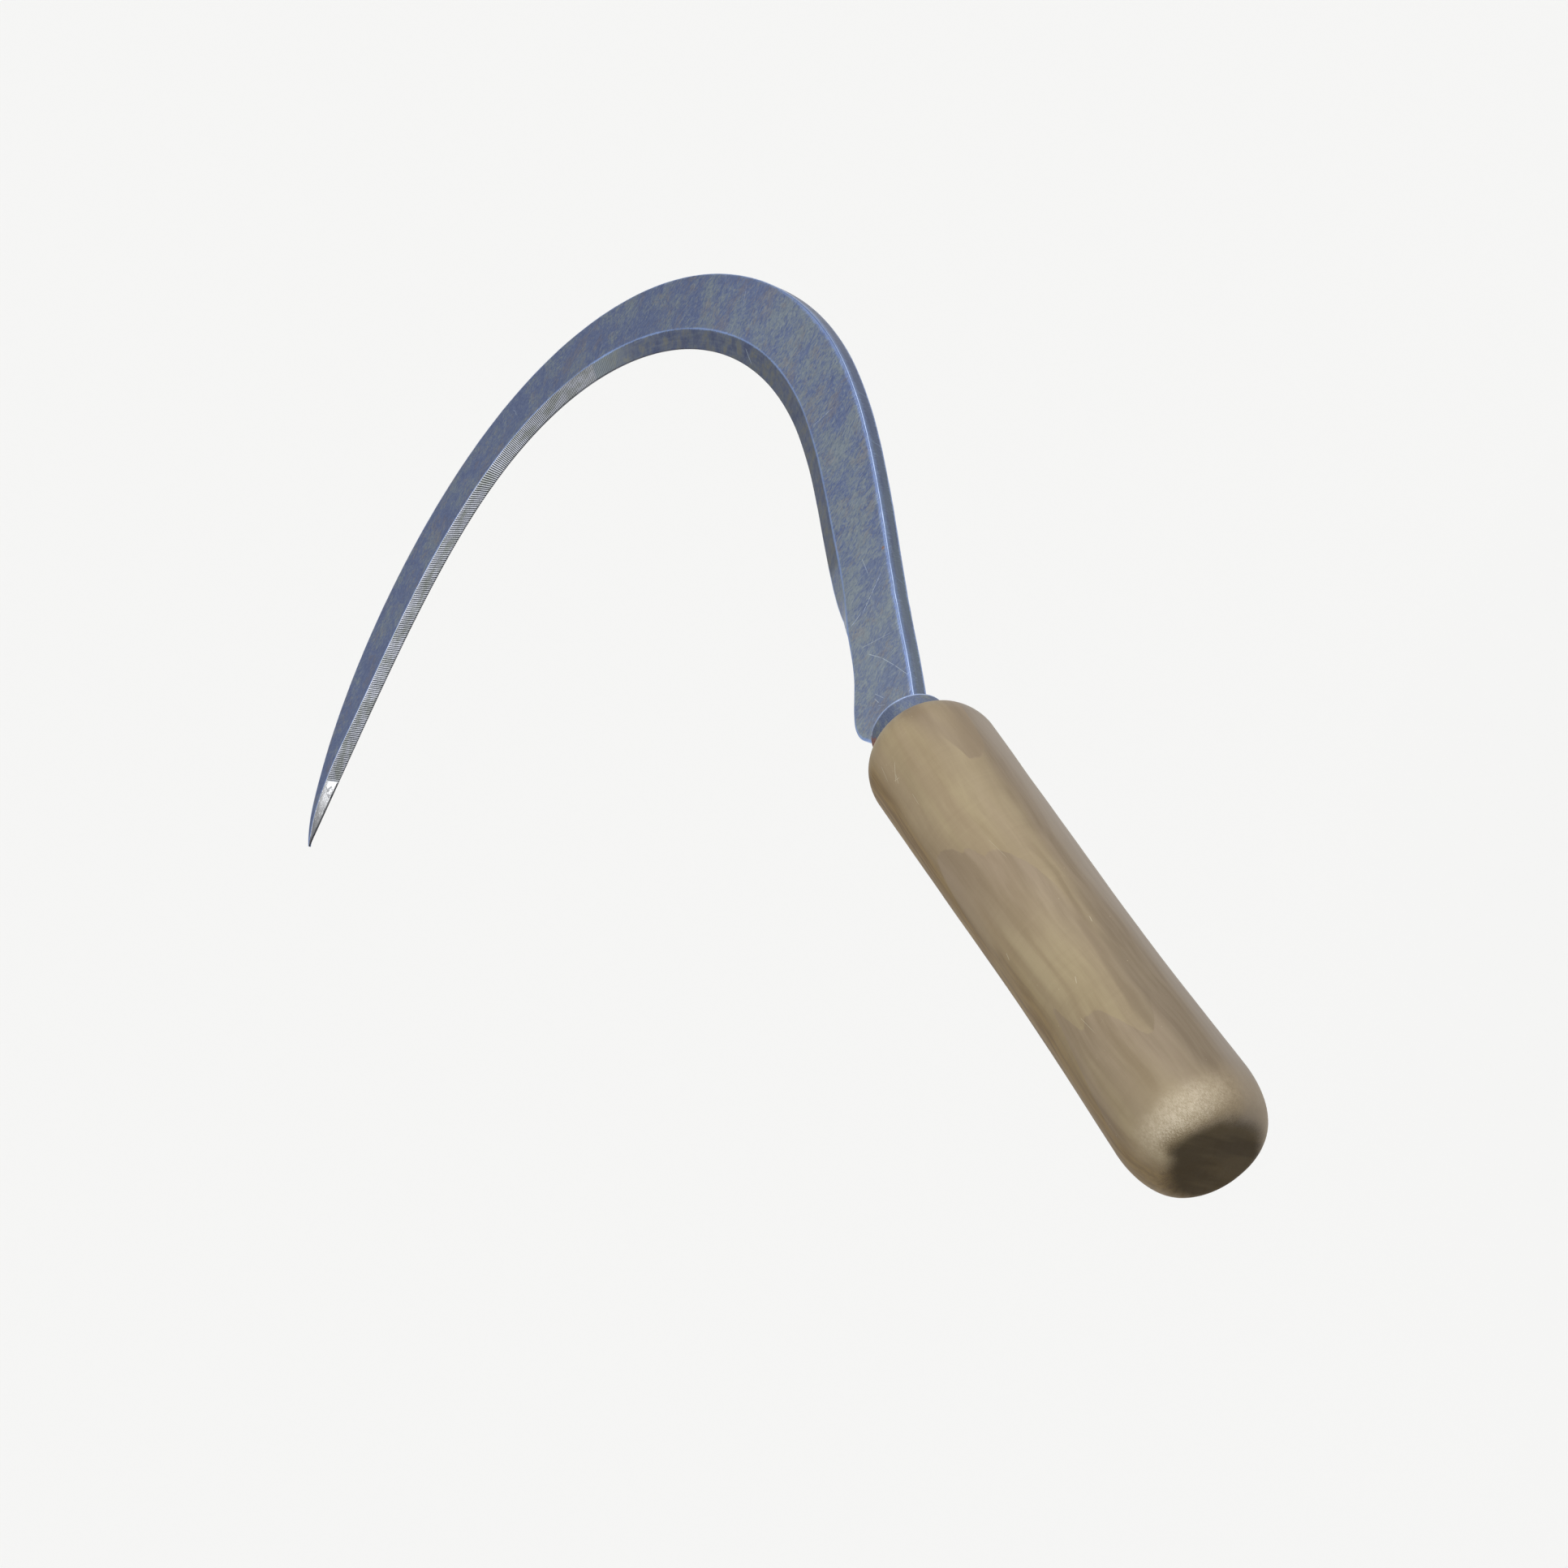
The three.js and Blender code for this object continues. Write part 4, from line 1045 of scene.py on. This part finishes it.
    # the figure: darker, greyer growth with scalloped ends, dying away along the handle
    ragged = t.add(t.mul(t.sub(t.noise(t.mapped(mm, scale=(0.15, 0.55, 0.55), move=(8, 2, 3)), 1.0, 4, 0.6), 0.5), 2.4), 0.0)
    grown = None
    for points, away_by, keep in (
            (((40, 62), (50, 74), (56.3, 85.6), (60.6, 93.1), (66, 97.6), (70.7, 99.4), (79.4, 98.8), (88.2, 96.3), (95.5, 92.6), (99.5, 92.7),
              (102.8, 91.6), (105.5, 88.8), (108.2, 87.2), (112, 87.6), (116.7, 87.0), (124.5, 83.9), (133.0, 79.0), (138.7, 73.4),
              (145, 63), (156, 40)), 46.0, 0.92),
            (((40, 6), (56, 14), (69.6, 30.0), (74.8, 37.2), (80.6, 43.6), (85, 39.0), (92.4, 33.4), (96, 34.4), (98.9, 35.1), (106.2, 35.2),
              (113.7, 32.8), (117.4, 30.6), (123.1, 26.9), (127.7, 23.6), (131.4, 22.4), (140, 24), (148, 30), (156, 34)), 36.0, 0.85)):
        top = t.add(t.curve(phi, points, 40.0, 156.0, 150.0), ragged)
        below = t.sub(top, x)
        # the border is crisp where the scallops are and soft at both sides
        soft = t.mul(t.step(phi, 50, 66), t.step(phi, 150, 134) if away_by > 40 else t.step(phi, 158, 132))
        part = t.mul(t.step(below, -0.25, 0.45), t.step(below, away_by, 2.0))
        part = t.mul(t.mul(part, soft), keep)
        grown = part if grown is None else t.hi(grown, part)
    low = t.add(t.curve(phi, ((112, 146), (120.7, 137), (136, 126), (142.5, 119.0), (145.1, 115.6), (152, 115.6), (160, 117.8), (165.9, 121.2),
                              (168.7, 128), (171.7, 141), (178, 150)), 112.0, 178.0, 150.0), t.mul(ragged, -0.6))
    above = t.sub(x, low)
    # crisp round its tip, soft up its near side
    part = t.blend(t.step(phi, 146, 134), t.step(above, -0.5, 0.8), t.step(above, -9.0, 9.0))
    part = t.mul(part, t.step(above, 34.0, 2.0))
    tongue = t.mul(part, t.mul(t.step(phi, 104, 126), t.step(phi, 182, 174)))
    grown = t.hi(grown, tongue)
    growth = t.mix(t.step(streak, 0.34, 0.64), srgb(141, 125, 104, W), srgb(159, 143, 124, W))
    growth = t.mix(t.mul(t.step(strand, 0.46, 0.30), 0.2), growth, srgb(126, 108, 88, W))
    growth = t.mix(t.mul(tongue, 0.5), growth, srgb(132, 115, 92, W))
    base = t.mix(t.mul(grown, 0.85), base, growth)
    base = t.scaled(base, t.remap(x, 20, 70, 0.91, 1.0))
    base = t.scaled(base, t.remap(t.step(t.add(x, t.mul(t.sub(cloud, 0.5), 10.0)), 133.0, 143.0), 0.0, 1.0, 1.0, 0.82))
    # round the back the growth shows as plain long arches
    ring_r = t.math("SQRT", t.add(t.math("POWER", t.add(fy, 12.5), 2.0), t.math("POWER", fx, 2.0)))
    ring_r = t.add(t.sub(ring_r, t.mul(x, 0.058)), t.mul(t.sub(t.noise(t.mapped(mm, scale=(0.05, 0.24, 0.24), move=(8, 2, 3)), 1.0, 2, 0.45), 0.5), 2.3))
    ring = t.math("FRACT", t.math("DIVIDE", t.sub(ring_r, 28.3), 2.55))
    late = t.mul(t.step(ring, 0.0, 0.03), t.step(ring, 1.0, 0.30))
    behind = t.step(fy, 1.0, -7.0)
    base = t.mix(t.mul(t.mul(late, behind), 0.6), base, growth)

    # light handling scratches and specks
    around = t.xyz(x, t.mul(phi, 0.28), 0.0)
    bend = t.vec("SCALE", t.vec("SUBTRACT", t.noise(mm, 0.11, 1, 0.5, colour=True), (0.5, 0.5, 0.5)), scale=2.5)
    s1 = t.hairs(around, 62, 16, 1.3, 0.055, 0.20, 4.0, bend)
    s2 = t.hairs(around, 118, 14, 1.2, 0.055, 0.18, 64.0, bend)
    s3 = t.hairs(around, 8, 24, 1.0, 0.06, 0.16, 24.0, bend)
    where = t.step(t.noise(t.mapped(mm, scale=(0.035, 0.05, 0.05), move=(2, 2, 2)), 1.0, 3, 0.6), 0.50, 0.64)
    scratch = t.mul(t.mul(t.lo(t.add(s1, t.add(s2, s3)), 1.0), where), 0.6)
    for (xa, pa), (xb, pb), w in (((129.5, 92.0), (124.6, 80.0), 0.11), ((124.0, 82.5), (126.8, 86.0), 0.11), ((125.8, 81.0), (124.8, 87.5), 0.10),
                                  ((133.0, 78.5), (127.8, 74.5), 0.08), ((118.0, 88.0), (113.5, 87.0), 0.07),
                                  ((64.6, 72.5), (62.6, 70.4), 0.14), ((44.9, 111.5), (43.0, 109.0), 0.12), ((57.8, 149.5), (55.9, 148.5), 0.12),
                                  ((90.5, 118), (82, 122), 0.05), ((36, 96), (30, 99), 0.06)):
        scratch = t.hi(scratch, t.segment(around, (xa, pa * 0.28), (xb, pb * 0.28), w))
    speck_d, speck_c = t.voronoi(t.mapped(mm, scale=(0.35, 0.7, 0.7)), 1.0)
    sp1, _, _ = t.parts(speck_c)
    speck = t.mul(t.step(speck_d, 0.085, 0.03), t.step(sp1, 0.82, 0.84))
    base = t.mix(t.mul(scratch, 0.55), base, srgb(208, 200, 180, W))
    base = t.mix(t.mul(speck, 0.42), base, srgb(206, 196, 172, W))

    # the butt: end grain gone dark and dirty, made darker still as painted shade, and a pale, fibrous, rubbed rim with
    # a painted highlight
    fuzz = t.noise(t.mapped(mm, scale=(1.3, 6.4, 4.2), turn=(0.5, 0.3, 0.9), move=(3, 1, 7)), 1.0, 3, 0.62)
    fuzz2 = t.noise(t.mapped(mm, scale=(0.8, 0.8, 0.8), move=(9, 1, 5)), 1.0, 4, 0.6)
    fuzz_big = t.noise(t.mapped(mm, scale=(0.14, 0.14, 0.14), move=(7, 1, 1)), 1.0, 3, 0.5)
    # how far the dark end grain reaches out: to the flat's own edge on the upper side, and as painted shade past the
    # rim on the lower one
    reach = t.curve(phi, ((-65, 13.5), (-20, 12.8), (10, 11.7), (40, 10.7), (70, 10.6), (90, 12.2), (105, 11.6), (122, 10.7), (150, 10.1), (180, 9.7),
                          (205, 10.0), (235, 11.3), (265, 12.8), (295, 13.5)), -65.0, 295.0, 20.0)
    out_by = t.sub(r, reach)
    out_by = t.add(out_by, t.mul(t.sub(fuzz, 0.5), 3.2))
    out_by = t.add(out_by, t.mul(t.sub(fuzz_big, 0.5), 2.6))
    # the mask of the dark end grain and its painted shade, reaching past the lower rim
    end_dirt_and_shade = t.mul(t.step(out_by, 2.0, -2.6), t.step(x, 11.0, 4.0))
    # painted highlight: the rubbed rim is made paler towards the side turned to the light
    pale_to = t.math("DIVIDE", t.add(t.mul(y, math.cos(math.radians(126))), t.mul(z, math.sin(math.radians(126)))), t.hi(r, 1.0))
    towards = t.step(t.add(pale_to, t.mul(t.sub(fuzz2, 0.5), 0.35)), 0.45, 1.02)
    rub_x = t.add(x, t.add(t.mul(t.sub(fuzz, 0.5), 2.6), t.mul(t.sub(fuzz_big, 0.5), 4.0)))
    rub_and_highlight = t.mul(t.step(rub_x, 12.5, 3.0), t.step(out_by, -2.2, 2.2))
    pale = t.mix(t.step(t.add(t.mul(fuzz, 0.75), t.mul(fuzz2, 0.25)), 0.24, 0.78), srgb(160, 144, 116, W), t.mix(towards, srgb(172, 156, 128, W), srgb(200, 185, 160, W)))
    base = t.mix(t.mul(rub_and_highlight, t.blend(towards, 0.30, 0.62)), base, pale)
    # painted highlight: the palest of it lies close to the dark end grain, on the side turned to the light
    crest_highlight = t.mul(t.mul(t.step(rub_x, 9.6, 3.2), t.step(rub_x, 0.2, 2.4)), t.step(t.math("ABSOLUTE", t.sub(phi, 115.0)), 62.0, 2.0))
    crest_highlight = t.mul(crest_highlight, t.remap(t.step(t.add(t.mul(fuzz2, 0.65), t.mul(fuzz, 0.35)), 0.36, 0.62), 0.0, 1.0, 0.55, 1.0))
    base = t.mix(t.mul(t.mul(crest_highlight, t.step(out_by, -0.8, 1.8)), 0.74), base, t.mix(t.step(fuzz, 0.26, 0.74), srgb(200, 188, 166, W), srgb(238, 228, 210, W)))
    # the end grain's colour: dirty dark wood, darkened further as painted shade
    swirl = t.noise(t.mapped(mm, scale=(0.2, 0.22, 0.035), turn=(0.12, 0, 0), move=(2, 9, 4)), 1.0, 3, 0.5)
    end_c = t.mix(t.step(swirl, 0.40, 0.60), (0.050, 0.034, 0.0140, 1.0), (0.080, 0.058, 0.028, 1.0))
    end_c = t.mix(t.mul(t.step(fuzz, 0.50, 0.70), 0.16), end_c, (0.105, 0.080, 0.048, 1.0))
    base = t.mix(t.mul(end_dirt_and_shade, 0.95), base, end_c)
    base = t.vec("MULTIPLY", base, (0.93, 0.90, 0.84))

    t.put(t.bsdf.inputs["Base Color"], base)
    rough = t.add(0.50, t.mul(t.sub(streak, 0.5), 0.20))
    rough = t.add(rough, t.mul(rub_and_highlight, 0.10))
    rough = t.add(rough, t.mul(end_dirt_and_shade, 0.22))
    t.put(t.bsdf.inputs["Roughness"], t.math("MULTIPLY", rough, 1.0, clamp=True))
    t.put(t.bsdf.inputs["Specular IOR Level"], t.blend(end_dirt_and_shade, 0.32, 0.18))
    height = t.add(t.mul(t.sub(fibre, 0.5), 0.022), t.mul(t.sub(strand, 0.5), 0.04))
    height = t.add(height, t.mul(t.mul(t.sub(fuzz, 0.5), t.lo(t.add(rub_and_highlight, t.mul(end_dirt_and_shade, 0.5)), 1.0)), 0.014))
    height = t.sub(height, t.mul(scratch, 0.02))
    t.put(t.bsdf.inputs["Normal"], t.bump(height, 0.001, 1.0))
    return t.mat


K = 1.55            # steel: from seen colour to the metal's own, for this light
W = 0.92            # wood: the same
METAL = 0.9
# painted shade: the spine's colours are made darker by this, as it faces the lit floor
SPINE_SHADE_K = 1.12      # the spine faces the lit floor, so its own colour is darker
FERRULE_K = 0.95
RIGHT_FROM = 308.0  # where along the edge the right arm starts
SPINE_HAIRS = ((373.5, 0.8), (390.0, 0.3), (434.4, 1.4))

blade.data.materials.append(blade_material())
ferrule.data.materials.append(ferrule_material())
handle.data.materials.append(wood_material())

for piece, node, slot in ((blade, "blade_with_tang", "blade_steel"), (ferrule, "ferrule", "ferrule_steel"),
                          (handle, "handle", "handle_wood")):
    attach(piece, "root")
    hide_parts(node)

# ------------------------------------------------------------ floor, light, world

floor_mesh = bpy.data.meshes.new("floor")
size = 40.0
floor_mesh.from_pydata([(-size, -size, 0), (size, -size, 0), (size, size, 0), (-size, size, 0)], [], [(0, 1, 2, 3)])
floor = bpy.data.objects.new("floor", floor_mesh)
floor.location = (0.2, 0.1, -0.75)
bpy.context.scene.collection.objects.link(floor)
floor_mat = bpy.data.materials.new("pale_floor")
floor_mat.use_nodes = True
fb = floor_mat.node_tree.nodes["Principled BSDF"]
fb.inputs["Base Color"].default_value = (0.869, 0.866, 0.851, 1)
fb.inputs["Roughness"].default_value = 1.0
fb.inputs["Specular IOR Level"].default_value = 0.0
floor_mesh.materials.append(floor_mat)


def sun(name, towards, strength, angle, colour=(1, 1, 1)):
    data = bpy.data.lights.new(name, "SUN")
    data.energy, data.angle, data.color = strength, math.radians(angle), colour
    o = bpy.data.objects.new(name, data)
    o.rotation_mode = "QUATERNION"
    o.rotation_quaternion = Vector(towards).to_track_quat("Z", "Y")
    bpy.context.scene.collection.objects.link(o)
    return o


sun("key", (0.35, -0.80, 0.48), 2.0, 55)
sun("top", (0.12, 0.20, 0.97), 1.3, 50)

world = bpy.data.worlds.new("studio")
bpy.context.scene.world = world
world.use_nodes = True
wn = world.node_tree
wn.nodes.clear()
wout = wn.nodes.new("ShaderNodeOutputWorld")
back = wn.nodes.new("ShaderNodeBackground")
back.inputs["Color"].default_value = (0.922, 0.922, 0.905, 1)
fill = wn.nodes.new("ShaderNodeBackground")
fill.inputs["Color"].default_value = (0.97, 0.98, 1.0, 1)
fill.inputs["Strength"].default_value = 0.36
seen = wn.nodes.new("ShaderNodeLightPath")
both = wn.nodes.new("ShaderNodeMixShader")
wn.links.new(seen.outputs["Is Camera Ray"], both.inputs[0])
wn.links.new(fill.outputs[0], both.inputs[1])
wn.links.new(back.outputs[0], both.inputs[2])
wn.links.new(both.outputs[0], wout.inputs["Surface"])

bpy.context.scene.view_settings.view_transform = "Standard"
bpy.context.scene.view_settings.look = "None"
bpy.context.scene.view_settings.exposure = 0.0
bpy.context.scene.view_settings.gamma = 1.0

# -------------------------------------------------------------------- view layer update

bpy.context.view_layer.update()
